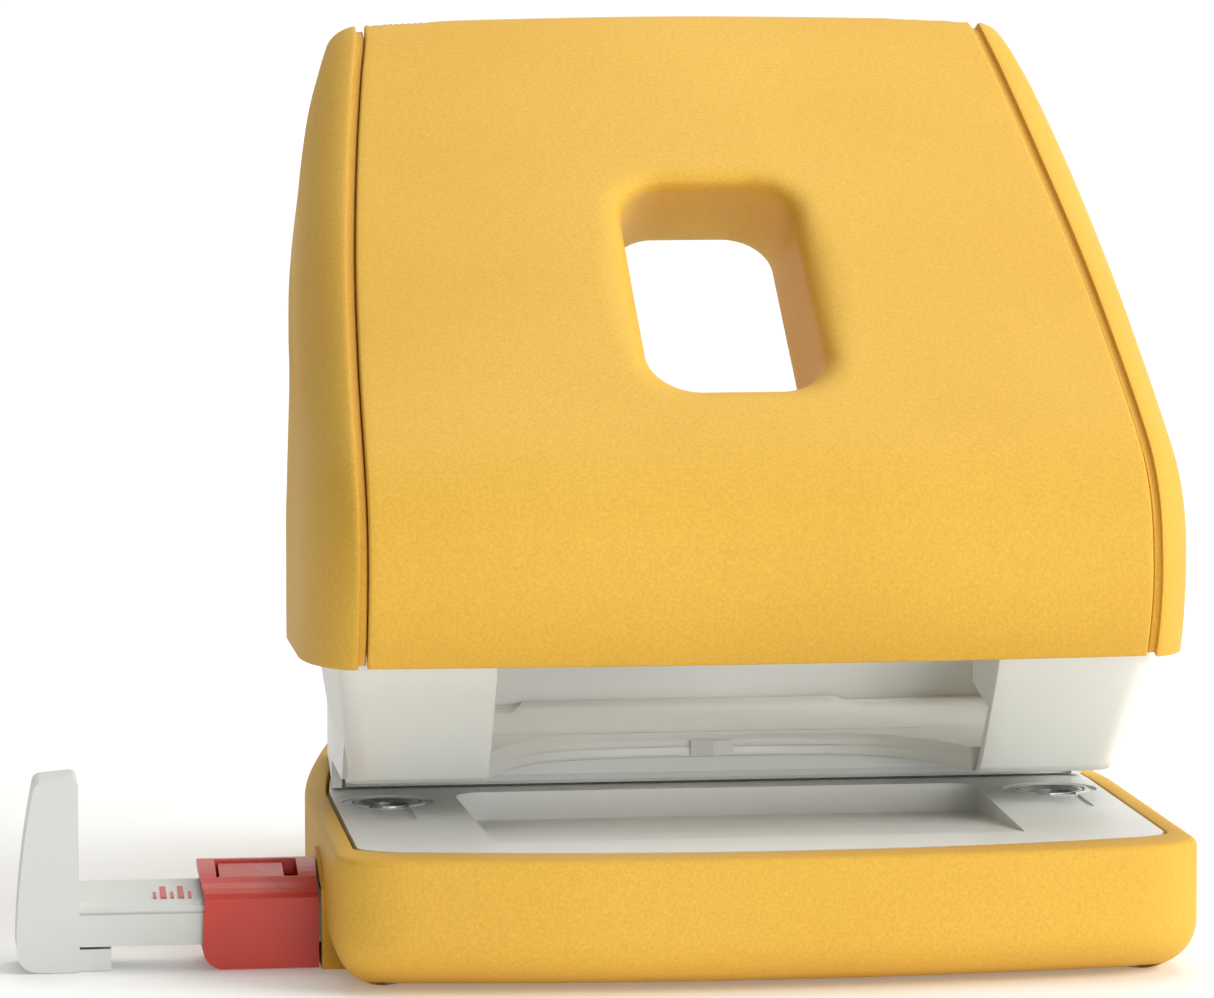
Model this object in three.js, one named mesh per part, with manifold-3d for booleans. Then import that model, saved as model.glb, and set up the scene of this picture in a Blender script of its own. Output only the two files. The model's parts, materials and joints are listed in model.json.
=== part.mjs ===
// Two-hole desk punch: a moulded tray, a pressed-steel mechanism and a lever handle.
// Millimetres, +Z up. The part's origin is the centre of the tray's flat underside.
// Every piece is drawn about the punch datum: midway between the two dies, on top of the
// base plate, +X to the right and +Y away from the paper mouth. datumY and datumZ place
// that datum in the part's frame.

import * as THREE from 'three';
import { mergeVertices } from 'three/addons/utils/BufferGeometryUtils.js';
import Module from 'manifold-3d';

const wasm = await Module();
wasm.setup();

// Driving dimensions
const datumY = -8;
const datumZ = 15.4;
const holeSpacing = 80;
const punchRadius = 2.75;
const stopDepth = 12;
const paperGap = 3.5;
const gap = 0.3;
const holeX = holeSpacing / 2;

// Tray
const trayHalfWidth = 49.2;
const trayTailHalfWidth = 43;
const trayFrontY = -48.4;
const trayFrontBow = 3.3;
const trayRearY = 67.7;
const trayTaperY = 8;
const trayCorner = 8;
const trayWall = 2.4;
const trayRimTop = 0;
const trayBottom = -datumZ;
const trayFloor = 2;

// Base plate
const plateHalfWidth = 46.2;
const plateTailHalfWidth = 40.5;
const plateFrontY = -40.7;
const plateFrontBow = 5;
const plateRearY = 58;
const plateThickness = 1.5;
const scoopHalfWidth = 31.5;
const scoopRearY = 6.3;
const scoopFrontY = -35;
const scoopDepth = 3.5;
const dieOuterRadius = 3.9;
const dieRingRadius = 5.1;

// Upper jaw, frame and cheeks
const jawThickness = 2.8;
const jawTop = paperGap + jawThickness;
const jawFrontY = -8.8;
const jawRearY = 40;
const jawHalfWidth = 44;
const sidePlateInner = 44.7;
const sidePlateOuter = 45.9;
const rearWallHalfWidth = 44.2;
const sideLegY = 10.4;
const rearWallTop = 20;
const rivetX = 30;
const rivetY = jawRearY + 5.5;
const rivetRadius = 2;
const cheekInner = 29;
const cheekOuter = 47.4;
const cheekWall = 1.5;
const cheekTop = 31;

// Pivot, lever and punches
const pivotY = -17;
const pivotZ = 26;
const axleRadius = 3;
const axleHalfLength = 48.6;
const lobeRadius = 7;
const pressBarY = 0;
const pressBarZ = 37;
const pressBarRadius = 4;
const armInner = 32.5;
const armOuter = 34.5;
const punchTipZ = 4;
const punchHeadRadius = 4.3;
const punchHeadHeight = 2.6;
const punchTop = pressBarZ - pressBarRadius - gap;
const bushTop = 13.9;
const bushRadius = 4.2;
const springRadius = 3.9;
const springWire = 0.45;
const springTurns = 7;

// Handle
const shellWall = 2.4;
const seamGap = 0.5;
const tunnelHalfWidth = 10.5;
const tunnelCorner = 6;
const tunnelWall = 2;
const backStart = [-4.5, 42.1];
const backSlope = [0.849, 0.528];
const backThickness = 2.9;
const backFoot = 20;
const leverLength = 50;

// Paper guide and its lock
const barFrontY = -25.6;
const barRearY = -17;
const barBottom = -12.5;
const barTopFront = -7.4;
const barTopSlope = 0.16;
const barLeftX = -77.2;
const barRightX = 51.8;
const collarLeftX = -63.4;
const collarRightX = -49.9;
const collarFrontY = -26.4;
const collarRearY = -15.4;
const collarBottom = -15.3;
const stopBottom = -15.3;

// Hinge between tray and mechanism
const hingeY = 60;
const hingeZ = -5;
const hingePinRadius = 1.5;
const hingeLugInner = 25;
const hingeLugOuter = 33;

// Materials
function paint(color, roughness, metalness = 0) {
  return new THREE.MeshStandardMaterial({ color, roughness, metalness });
}

const yellowPlastic = paint('#f0c055', 0.55);
const greyMetal = paint('#dadbd3', 0.4, 0.2);
const greyPlastic = paint('#d8d9d1', 0.5);
const redPlastic = paint('#c24632', 0.35);
const bareSteel = paint('#b4b6b8', 0.3, 1);
const darkSteel = paint('#5a5c60', 0.4, 1);

// Solid helpers
function toSolid(geometry) {
  const bare = geometry.index ? geometry.clone() : geometry;
  bare.deleteAttribute('normal');
  bare.deleteAttribute('uv');
  const merged = mergeVertices(bare, 1e-4);
  const vertProperties = new Float32Array(merged.attributes.position.array);
  const triVerts = new Uint32Array(merged.index.array);
  return new wasm.Manifold(new wasm.Mesh({ numProp: 3, vertProperties, triVerts }));
}

function toGeometry(solid) {
  const mesh = solid.getMesh();
  const geometry = new THREE.BufferGeometry();
  geometry.setAttribute('position', new THREE.BufferAttribute(new Float32Array(mesh.vertProperties), 3));
  geometry.setIndex(new THREE.BufferAttribute(new Uint32Array(mesh.triVerts), 1));
  return geometry;
}

function join(first, ...others) {
  return others.reduce((sum, next) => sum.add(next), first);
}

function cut(first, ...others) {
  return others.reduce((rest, next) => rest.subtract(next), first);
}

function block(x0, x1, y0, y1, z0, z1) {
  const geometry = new THREE.BoxGeometry(x1 - x0, y1 - y0, z1 - z0);
  geometry.translate((x0 + x1) / 2, (y0 + y1) / 2, (z0 + z1) / 2);
  return toSolid(geometry);
}

function shapeFrom(points) {
  return new THREE.Shape(points.map(([a, b]) => new THREE.Vector2(a, b)));
}

// An outline in the Y-Z plane, carried along X from x0 to x1.
function alongX(outline, x0, x1, steps = 8) {
  const shape = Array.isArray(outline) ? shapeFrom(outline) : outline;
  const geometry = new THREE.ExtrudeGeometry(shape, {
    depth: x1 - x0, bevelEnabled: false, curveSegments: steps,
  });
  const turn = new THREE.Matrix4().makeBasis(
    new THREE.Vector3(0, 1, 0), new THREE.Vector3(0, 0, 1), new THREE.Vector3(1, 0, 0));
  geometry.applyMatrix4(turn);
  geometry.translate(x0, 0, 0);
  return toSolid(geometry);
}

// An outline in the X-Y plane, carried up from z0 to z1.
function upZ(outline, z0, z1, steps = 8, edge = null) {
  const shape = Array.isArray(outline) ? shapeFrom(outline) : outline;
  const edgeHeight = edge ? edge.height : 0;
  const geometry = new THREE.ExtrudeGeometry(shape, {
    depth: z1 - z0 - 2 * edgeHeight,
    curveSegments: steps,
    bevelEnabled: Boolean(edge),
    bevelThickness: edgeHeight,
    bevelSize: edge ? edge.inset : 0,
    bevelOffset: edge ? -edge.inset : 0,
    bevelSegments: edge ? edge.segments : 0,
  });
  geometry.translate(0, 0, z0 + edgeHeight);
  return toSolid(geometry);
}

// An outline in the X-Z plane, carried along Y from y0 to y1.
function alongY(outline, y0, y1, steps = 8) {
  const shape = Array.isArray(outline) ? shapeFrom(outline) : outline;
  const geometry = new THREE.ExtrudeGeometry(shape, {
    depth: y1 - y0, bevelEnabled: false, curveSegments: steps,
  });
  geometry.rotateX(Math.PI / 2);
  geometry.translate(0, y1, 0);
  return toSolid(geometry);
}

function rodX(radius, x0, x1, y, z, sides = 32) {
  const geometry = new THREE.CylinderGeometry(radius, radius, x1 - x0, sides);
  geometry.rotateZ(Math.PI / 2);
  geometry.translate((x0 + x1) / 2, y, z);
  return toSolid(geometry);
}

function rodZ(radius, z0, z1, x, y, sides = 32) {
  const geometry = new THREE.CylinderGeometry(radius, radius, z1 - z0, sides);
  geometry.rotateX(Math.PI / 2);
  geometry.translate(x, y, (z0 + z1) / 2);
  return toSolid(geometry);
}

// A closed profile of [radius, z] points, turned about a vertical axis at (x, y).
function turned(profile, x, y, sides = 32) {
  const points = profile.map(([radius, z]) => new THREE.Vector2(radius, z));
  const geometry = new THREE.LatheGeometry(points, sides);
  geometry.rotateX(Math.PI / 2);
  geometry.translate(x, y, 0);
  return toSolid(geometry);
}

function ringX(innerRadius, outerRadius, x0, x1, y, z) {
  return cut(rodX(outerRadius, x0, x1, y, z), rodX(innerRadius, x0 - 1, x1 + 1, y, z));
}

function mirrorX(solid) {
  return solid.mirror([1, 0, 0]);
}

// Closed skin through rings of equal point counts, with flat ends.
function skin(rings) {
  const count = rings[0].length;
  const positions = rings.flat(2);
  const index = [];
  for (let row = 0; row < rings.length - 1; row += 1) {
    for (let i = 0; i < count; i += 1) {
      const next = (i + 1) % count;
      const a = row * count + i;
      const b = row * count + next;
      const c = a + count;
      const d = b + count;
      index.push(a, b, d, a, d, c);
    }
  }
  const last = (rings.length - 1) * count;
  for (let i = 1; i < count - 1; i += 1) {
    index.push(0, i + 1, i);
    index.push(last, last + i, last + i + 1);
  }
  const geometry = new THREE.BufferGeometry();
  geometry.setAttribute('position', new THREE.Float32BufferAttribute(positions, 3));
  geometry.setIndex(index);
  return toSolid(geometry);
}

// Assembly
const part = new THREE.Group();
const punch = new THREE.Group();
punch.position.set(0, datumY, datumZ);
part.add(punch);

function add(name, solid, material) {
  const mesh = new THREE.Mesh(toGeometry(solid), material);
  mesh.name = name;
  punch.add(mesh);
}

// Plan outline shared by the tray and the base plate: a bowed front, straight sides that
// draw in towards the tail, and rounded corners. inset draws the whole outline inwards.
function planOutline({ halfWidth, tailHalfWidth, frontY, bow, rearY, corner }, inset = 0) {
  const half = halfWidth - inset;
  const tail = tailHalfWidth - inset;
  const front = frontY + inset;
  const rear = rearY - inset;
  const radius = Math.max(corner - inset, 1.5);
  const shape = new THREE.Shape();
  shape.moveTo(-half + radius, front);
  shape.quadraticCurveTo(0, front - 2 * bow, half - radius, front);
  shape.quadraticCurveTo(half, front + 1.6, half, front + radius);
  shape.lineTo(half, trayTaperY);
  shape.quadraticCurveTo(half - 0.8, trayTaperY + 19, tail, rear - radius);
  shape.quadraticCurveTo(tail - 1, rear, tail - 1.3 * radius, rear);
  shape.lineTo(-tail + 1.3 * radius, rear);
  shape.quadraticCurveTo(-tail + 1, rear, -tail, rear - radius);
  shape.quadraticCurveTo(-half + 0.8, trayTaperY + 19, -half, trayTaperY);
  shape.lineTo(-half, front + radius);
  shape.quadraticCurveTo(-half, front + 1.6, -half + radius, front);
  return shape;
}

const trayPlan = {
  halfWidth: trayHalfWidth,
  tailHalfWidth: trayTailHalfWidth,
  frontY: trayFrontY,
  bow: trayFrontBow,
  rearY: trayRearY,
  corner: trayCorner,
};
const platePlan = {
  halfWidth: plateHalfWidth,
  tailHalfWidth: plateTailHalfWidth,
  frontY: plateFrontY,
  bow: plateFrontBow,
  rearY: plateRearY,
  corner: 4,
};

// Paper guide: bar section, with margin all round for the passages it slides through.
function barOutline(margin = 0) {
  const front = barFrontY - margin;
  const rear = barRearY + margin;
  const low = barBottom - margin;
  const topAt = (y) => barTopFront + (y - barFrontY) * barTopSlope + margin;
  return [
    [front, low],
    [rear, low],
    [rear, topAt(barRearY) - 0.6],
    [rear - 0.8, topAt(barRearY)],
    [front + 0.8, topAt(barFrontY)],
    [front, topAt(barFrontY) - 0.6],
  ];
}

// Section of the lock collar, which the tray's landing pad repeats a little larger.
function collarOutline(margin = 0) {
  const front = collarFrontY - margin;
  const rear = collarRearY + margin;
  const low = Math.max(collarBottom - margin, trayBottom);
  const shape = new THREE.Shape();
  shape.moveTo(front, low);
  shape.lineTo(rear, low);
  shape.lineTo(rear, -4.7 + margin);
  shape.quadraticCurveTo(rear - 0.2, -3.8 + margin, rear - 1.6, -3.9 + margin);
  shape.quadraticCurveTo(front + 1.8, -4.9 + margin, front, -7.2 + margin);
  shape.lineTo(front, low);
  return shape;
}

// What the sweep of the tray's front face under its lower edge takes away.
function frontUnderside() {
  const shape = new THREE.Shape();
  const front = trayFrontY - trayFrontBow;
  shape.moveTo(front - 5, trayBottom - 1);
  shape.lineTo(front + 14, trayBottom - 1);
  shape.lineTo(front + 14, trayBottom);
  shape.quadraticCurveTo(front + 1.5, trayBottom, front - 0.5, trayBottom + 7);
  shape.lineTo(front - 5, trayBottom + 7);
  return alongX(shape, -60, 60, 6);
}

function makeTray() {
  const rounded = { height: 6, inset: 6, segments: 5 };
  const blank = upZ(planOutline(trayPlan), trayBottom, trayRimTop + 8, 8, rounded);
  const body = cut(blank, frontUnderside());
  const aboveRim = block(-80, 80, -80, 90, trayRimTop, 30);
  const pocketTop = upZ(planOutline(platePlan, -gap - 0.1), -plateThickness - gap, 10);
  // The plate's tail corners swing back as the tray opens
  const tailSwing = pocketTop.translate([0, 1.8, 0]).intersect(block(-60, 60, plateRearY - 8, plateRearY + 5, -10, 10));
  const cavity = upZ(planOutline(trayPlan, trayWall + 2.6), trayBottom + trayFloor, 10);
  const deepTail = block(-38, 38, plateRearY - 3, trayRearY - trayWall - 0.8, trayBottom + trayFloor, 10);
  const wideTail = block(-39.8, 39.8, plateRearY - 6, plateRearY + 5, -plateThickness - gap - 3, 10);
  const pad = alongX(collarOutline(1), collarRightX + gap, -trayHalfWidth + 4);
  const passage = alongX(barOutline(0.4), -trayHalfWidth - 5, trayHalfWidth + 5);
  const shell = cut(body, aboveRim, pocketTop, tailSwing, cavity, deepTail, wideTail);
  const ears = [];
  for (const side of [-1, 1]) {
    for (const x of [hingeLugInner - 2.8, hingeLugOuter + 0.4]) {
      const ear = join(
        block(x, x + 2.4, hingeY - 3, hingeY + 3, trayBottom + trayFloor - 0.5, hingeZ),
        rodX(3, x, x + 2.4, hingeY, hingeZ, 20));
      ears.push(side > 0 ? ear : mirrorX(ear));
    }
  }
  const bore = rodX(hingePinRadius + gap, -60, 60, hingeY, hingeZ, 20);
  const hinged = join(shell, pad, ...ears);
  const boreCut = bore.intersect(block(-43, 43, hingeY - 5, hingeY + 5, -15, 0));
  return cut(hinged, passage, boreCut);
}

function makeHingePin(side) {
  const pin = rodX(hingePinRadius, hingeLugInner - 2.6, hingeLugOuter + 2.6, hingeY, hingeZ, 20);
  return side > 0 ? pin : mirrorX(pin);
}

function scoopPlan(spread) {
  const rear = scoopRearY + spread;
  const front = scoopFrontY - spread;
  const half = scoopHalfWidth + spread;
  const corner = 4;
  const shape = new THREE.Shape();
  shape.moveTo(-half + 1, front);
  shape.lineTo(half - 1, front);
  shape.lineTo(half, rear - corner);
  shape.quadraticCurveTo(half, rear, half - corner, rear);
  shape.lineTo(-half + corner, rear);
  shape.quadraticCurveTo(-half, rear, -half, rear - corner);
  return shape;
}

function makeScoop(spread, drop) {
  const rear = scoopRearY + spread + 1;
  const wedge = alongX([
    [rear, 0],
    [scoopFrontY - spread, 0],
    [scoopFrontY, -0.05 - drop],
    [rear, -scoopDepth - drop],
  ], -60, 60);
  return wedge.intersect(upZ(scoopPlan(spread), -20, 5));
}

function makeBasePlate() {
  const sheet = upZ(planOutline(platePlan), -plateThickness, 0);
  const trough = makeScoop(1.2, 1.2);
  const lug = join(
    block(hingeLugInner, hingeLugOuter, hingeY - 5, hingeY - 2, hingeZ - 2.2, -plateThickness + 0.2),
    rodX(2.8, hingeLugInner, hingeLugOuter, hingeY, hingeZ, 20),
    block(hingeLugInner, hingeLugOuter, hingeY - 4, hingeY, hingeZ - 2.8, hingeZ + 2.8));
  let plate = join(sheet, trough, lug, mirrorX(lug));
  plate = cut(plate, makeScoop(0, 0).add(makeScoop(0, 0).translate([0, 0, 1])));
  for (const side of [-1, 1]) {
    const x = side * holeX;
    const seat = rodZ(dieOuterRadius + gap, -10, 5, x, 0);
    const groove = cut(
      rodZ(dieRingRadius + 0.5, -0.3, 2, x, 0),
      rodZ(dieRingRadius - 0.5, -1, 3, x, 0));
    const recess = block(x - 2.4, x + 2.4, -15.5, -3, -0.25, 2);
    plate = cut(plate, seat, groove, recess);
  }
  return cut(plate, rodX(hingePinRadius + gap, -60, 60, hingeY, hingeZ, 20));
}

// Hardened ring that the punch shears against.
function makeDie(x) {
  return turned([
    [punchRadius + gap, -2.4],
    [dieOuterRadius, -2.4],
    [dieOuterRadius, -0.05],
    [punchRadius + 0.75, -0.05],
    [punchRadius + gap, -0.5],
    [punchRadius + gap, -2.4],
  ], x, 0);
}

function makePaperStop() {
  return alongX([
    [stopDepth + 2.4, gap],
    [stopDepth + 2.4, paperGap - gap],
    [stopDepth, paperGap - gap],
    [stopDepth, 1.3],
    [stopDepth - 0.3, 0.6],
    [stopDepth - 0.9, gap],
  ], -sidePlateInner + 2 * gap, sidePlateInner - 2 * gap);
}

function makeUpperJaw() {
  const arch = new THREE.SplineCurve([
    [-28.8, jawFrontY], [-26.8, -3.6], [-23.6, 2], [-18.6, 6.4], [-9, 8], [0, 8.2],
    [9, 8], [18.6, 6.4], [23.6, 2], [26.8, -3.6], [28.8, jawFrontY],
  ].map(([x, y]) => new THREE.Vector2(x, y)));
  const rearHalf = rearWallHalfWidth - 2;
  const outline = [
    [-rearHalf, jawRearY],
    [-jawHalfWidth, 6],
    [-jawHalfWidth, jawFrontY],
    ...arch.getPoints(28).map((point) => [point.x, point.y]),
    [jawHalfWidth, jawFrontY],
    [jawHalfWidth, 6],
    [rearHalf, jawRearY],
  ];
  const softEdge = { height: 0.7, inset: 0.6, segments: 2 };
  const plate = upZ(outline, paperGap, jawTop, 8, softEdge);
  const shelf = upZ([
    [-26, 12], [26, 12], [20, jawRearY - 0.6], [-20, jawRearY - 0.6],
  ], jawTop - 0.2, jawTop + 0.5);
  const guides = [-1, 1].map((side) => rodZ(bushRadius + gap, 0, 12, side * holeX, 0));
  return cut(join(plate, shelf), ...guides);
}

// Small raised arrow on the lip that marks the middle of the sheet.
function makeCentreMark() {
  return upZ([[-2.6, 8], [0, 6.7], [2.6, 8]], paperGap + 0.4, paperGap + 2.1).translate([0, -0.4, 0]);
}

function makeSidePlate() {
  const profile = new THREE.Shape();
  profile.moveTo(sideLegY, gap);
  profile.lineTo(jawRearY + 1.8, gap);
  profile.lineTo(jawRearY + 1.8, rearWallTop - 6);
  profile.lineTo(jawRearY - 6, rearWallTop);
  profile.lineTo(-6, rearWallTop);
  profile.lineTo(pivotY + lobeRadius, pivotZ);
  profile.absarc(pivotY, pivotZ, lobeRadius, 0, Math.PI, false);
  profile.lineTo(-23.6, 20);
  profile.lineTo(-15, 10.4);
  profile.lineTo(-11, 7.2);
  profile.lineTo(-8.2, paperGap + 0.4);
  profile.lineTo(sideLegY, paperGap + 0.4);
  const thickness = sidePlateOuter - sidePlateInner;
  const rear = jawRearY + 2;
  const plan = upZ([
    [sidePlateInner, -30], [sidePlateOuter, -30], [sidePlateOuter, 8], [rearWallHalfWidth, rear],
    [rearWallHalfWidth - thickness, rear], [sidePlateInner, 8],
  ], 0, 50);
  const plate = alongX(profile, 40, 50, 10).intersect(plan);
  return cut(plate, rodX(axleRadius + gap, 30, 60, pivotY, pivotZ));
}

function makeFrame() {
  const right = makeSidePlate();
  const half = rearWallHalfWidth;
  const wall = block(-half, half, jawRearY + gap, jawRearY + 1.8, gap, rearWallTop - 6);
  const raised = block(-36, 36, jawRearY + gap, jawRearY + 1.8, rearWallTop - 7, rearWallTop);
  const flange = block(-half + 1, half - 1, jawRearY + 1, jawRearY + 9, gap, gap + 1.5);
  return join(right, mirrorX(right), wall, raised, flange);
}

function makeFrameRivet(x) {
  const z = gap + 1.5;
  return turned([
    [0, -2.4], [rivetRadius, -2.4], [rivetRadius, z + 0.2], [3.2, z + 0.2], [2.6, z + 1.1], [0, z + 1.3],
  ], x, rivetY, 20);
}

// Front cover of one side of the throat: a J-bent face with a side return.
function makeCheek() {
  const face = [
    [-27.4, cheekTop], [-27.2, 23], [-26.1, 18.4], [-17.3, 8.3], [-13.75, 4.85], [-11.6, 3.75],
    [jawFrontY - gap, paperGap],
  ];
  const outer = alongX([...face, [jawFrontY - gap, cheekTop]].reverse(), cheekInner, cheekOuter);
  const hollowFace = face.map(([y, z]) => [y + cheekWall, z + 0.5 * cheekWall]);
  hollowFace[0] = [-27.4 + cheekWall, cheekTop + 2];
  const hollow = alongX([...hollowFace.slice(0, 6), [jawFrontY + 5, paperGap + cheekWall],
    [jawFrontY + 5, cheekTop + 2]].reverse(), cheekInner + 1.2, cheekOuter + 5);
  const below = block(0, 46, jawFrontY - 12, jawFrontY + 5, 0, 12.5)
    .intersect(alongX([[-21.6, 12.5], [-15.9, 7.6], [-12.4, 5.4], [-8, 5], [-8, 12.5]].reverse(),
      0, cheekInner + 1.4));
  const front = cut(outer, hollow, below);
  const sideProfile = alongX([
    [12, 4.2], [12, rearWallTop], [pivotY + 8, cheekTop + 3], [-24, cheekTop + 3], [-25.4, 20],
    [-16.2, 8.9], [-12.4, 5.4], [-8, 4.2],
  ], cheekOuter - 8, cheekOuter + 1);
  const sidePlan = upZ([
    [46.2, -27.4], [47, -26.6], [cheekOuter, -24], [cheekOuter, -16], [47.2, 12], [46.2, 12],
  ], 0, 50);
  const side = sideProfile.intersect(sidePlan);
  const frontPlan = upZ([
    [20, -30], [45, -30], [46.1, -27.6], [46.9, -25.5], [cheekOuter, -22], [cheekOuter, 20], [20, 20],
  ], 0, 50);
  const whole = join(front.intersect(frontPlan), side);
  return cut(whole, rodX(axleRadius + gap, 20, 60, pivotY, pivotZ));
}

// Guide sleeve that keeps the punch upright in the jaw.
function makeBush(x) {
  const bore = punchRadius + gap;
  return turned([
    [bore, paperGap + 0.2],
    [bushRadius, paperGap + 0.2],
    [bushRadius, bushTop - 0.6],
    [bushRadius - 0.6, bushTop],
    [bore, bushTop],
    [bore, paperGap + 0.2],
  ], x, 0);
}

function makePunch(x) {
  return turned([
    [0, punchTipZ + 0.9],
    [punchRadius, punchTipZ],
    [punchRadius, punchTop - punchHeadHeight],
    [punchHeadRadius, punchTop - punchHeadHeight],
    [punchHeadRadius, punchTop - 0.6],
    [punchHeadRadius - 0.8, punchTop],
    [0, punchTop],
  ], x, 0);
}

class Helix extends THREE.Curve {
  constructor(radius, turns, z0, z1) {
    super();
    Object.assign(this, { radius, turns, z0, z1 });
  }

  getPoint(t, target = new THREE.Vector3()) {
    const angle = t * this.turns * 2 * Math.PI;
    const z = this.z0 + (this.z1 - this.z0) * t;
    return target.set(this.radius * Math.cos(angle), this.radius * Math.sin(angle), z);
  }
}

function makeSpring(x) {
  const section = new THREE.Shape();
  section.absarc(0, 0, springWire, 0, 2 * Math.PI, false);
  const low = bushTop + gap + springWire;
  const high = punchTop - punchHeadHeight - gap - springWire;
  const geometry = new THREE.ExtrudeGeometry(section, {
    steps: springTurns * 12,
    curveSegments: 3,
    extrudePath: new Helix(springRadius, springTurns, low, high),
  });
  geometry.translate(x, 0, 0);
  return toSolid(geometry);
}

function makeAxleClip() {
  return ringX(axleRadius + gap, 5.2, cheekOuter + gap, cheekOuter + 1.1, pivotY, pivotZ);
}

// A point on the handle's back face: along its slope, then off it (negative is outside).
function onBack(along, off) {
  const [slopeY, slopeZ] = backSlope;
  return [
    backStart[0] + slopeY * along - slopeZ * off,
    backStart[1] + slopeZ * along + slopeY * off,
  ];
}

// The grip tunnel's section, swept from the front face through the back.
const tunnelDirection = new THREE.Vector2(18.8, -7.6).normalize();
const tunnelTop = new THREE.Vector2(13.1, 72.4);
const tunnelFoot = new THREE.Vector2(-23.7, 50.5);

function tunnelPrism(margin, before, after, taper = 1) {
  const across = new THREE.Vector2(-tunnelDirection.y, tunnelDirection.x);
  const top = tunnelTop.dot(across) + margin;
  const foot = tunnelFoot.dot(across) - margin;
  const half = tunnelHalfWidth + margin;
  const corner = tunnelCorner + margin;
  const middle = (top + foot) / 2;
  const reach = (top - foot) / 2;
  const shape = new THREE.Shape();
  shape.moveTo(-half + corner, -reach);
  shape.lineTo(half - corner, -reach);
  shape.absarc(half - corner, -reach + corner, corner, -Math.PI / 2, 0, false);
  shape.lineTo(half, reach - corner);
  shape.absarc(half - corner, reach - corner, corner, 0, Math.PI / 2, false);
  shape.lineTo(-half + corner, reach);
  shape.absarc(-half + corner, reach - corner, corner, Math.PI / 2, Math.PI, false);
  shape.lineTo(-half, -reach + corner);
  shape.absarc(-half + corner, -reach + corner, corner, Math.PI, Math.PI * 1.5, false);
  const points = shape.getPoints(6).slice(0, -1);
  const start = tunnelTop.dot(tunnelDirection) - before;
  const end = tunnelFoot.dot(tunnelDirection) + after;
  const rings = [end, start].map((distance, row) => points.map((point) => {
    const narrow = row === 0 ? taper : 1;
    const y = tunnelDirection.x * distance + across.x * (middle + point.y);
    const z = tunnelDirection.y * distance + across.y * (middle + point.y);
    return [point.x * narrow, y, z];
  }));
  return skin(rings);
}

// Handle stations from the lower front edge up to the top: the seam point on the front face,
// its half-width, the widest point of the side with its half-width, and the back outline.
const stations = [
  { seam: 45.2, front: [-34.8, 19.8], side: [-16.5, 19.4], wide: 51.4, back: [9.5, 18.9] },
  { seam: 45.2, front: [-36.9, 23.5], side: [-17.6, 23.2], wide: 51.4, back: [9.5, 23] },
  { seam: 45.2, front: [-38.4, 28.2], side: [-18.4, 28.6], wide: 51.4, back: [8.8, 28.8] },
  { seam: 45.2, front: [-38.5, 32.7], side: [-18.5, 33], wide: 51.4, back: [8.2, 34] },
  { seam: 45.1, front: [-37.5, 37.1], side: [-17.8, 36.8], wide: 51.2, back: [8.2, 38.5] },
  { seam: 45.1, front: [-34.6, 41.3], side: [-15.3, 40.3], wide: 51, back: [9, 43] },
  { seam: 45.0, front: [-29.5, 45.5], side: [-11, 43.6], wide: 50.7, back: onBack(17, 0) },
  { seam: 44.5, front: [-16, 53.6], side: [-0.5, 50], wide: 50.4, back: onBack(25, 0) },
  { seam: 43.5, front: [2, 64.4], side: [13.5, 58.8], wide: 49.7, back: onBack(36, 0) },
  { seam: 41.9, front: [20.7, 75.4], side: [28.8, 69.2], wide: 48.3, back: onBack(48, 0) },
  { seam: 40.2, front: [35.7, 84.8], side: [41.3, 78.6], wide: 46.3, back: onBack(60, 0) },
  { seam: 39.2, front: [43.6, 89.6], side: [47.2, 84.6], wide: 44.4, back: onBack(66, 0) },
  { seam: 39.0, front: [48.2, 91.4], side: [50.6, 87.8], wide: 43.2, back: [53.4, 83.5] },
];

function inward(points, i, distance) {
  const before = points[Math.max(i - 1, 0)];
  const after = points[Math.min(i + 1, points.length - 1)];
  const dy = after[0] - before[0];
  const dz = after[1] - before[1];
  const length = Math.hypot(dy, dz);
  return [points[i][0] + dz / length * distance, points[i][1] - dy / length * distance];
}

function handleRing(i, inset) {
  const station = stations[i];
  const front = inward(stations.map((one) => one.front), i, inset);
  const back = inward(stations.map((one) => one.back), i, -inset);
  const seam = station.seam - inset * 0.2;
  const wide = station.wide - inset;
  const crown = i === 0 ? 0 : 0.9;
  const half = [[0, front[0], front[1] + crown]];
  half.push([seam * 0.55, front[0], front[1] + crown * 0.7]);
  const steps = 6;
  for (let step = 0; step <= steps; step += 1) {
    const angle = step / steps * Math.PI / 2;
    const out = Math.sin(angle);
    const round = 1 - Math.cos(angle);
    half.push([
      seam + (wide - seam) * out,
      front[0] + (station.side[0] - front[0]) * round,
      front[1] + (station.side[1] - front[1]) * round,
    ]);
  }
  half.push([wide - 0.6, back[0] - 2, back[1] - 0.1]);
  half.push([wide - 2.4, back[0], back[1]]);
  const left = half.slice(1).reverse().map(([x, y, z]) => [-x, y, z]);
  return [...half, ...left];
}

function shiftRing(ring, dy, dz) {
  return ring.map(([x, y, z]) => [x, y + dy, z + dz]);
}

function handleShell() {
  const last = stations.length - 1;
  const outerRings = stations.map((_, i) => handleRing(i, 0));
  const innerRings = stations.slice(0, last).map((_, i) => handleRing(i, shellWall));
  innerRings[0] = shiftRing(innerRings[1], 1.5, -18);
  return cut(skin(outerRings), skin(innerRings));
}

// The seam between centre panel and side cap, seen from the front, at one side.
function seamPrism(offset) {
  const points = stations.map((one) => [one.seam + offset, one.front[1]]);
  points[0][1] = -10;
  points[points.length - 1][1] += 20;
  const mirrored = points.slice().reverse().map(([x, z]) => [-x, z]);
  return alongY([...points, ...mirrored], -80, 90);
}

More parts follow.
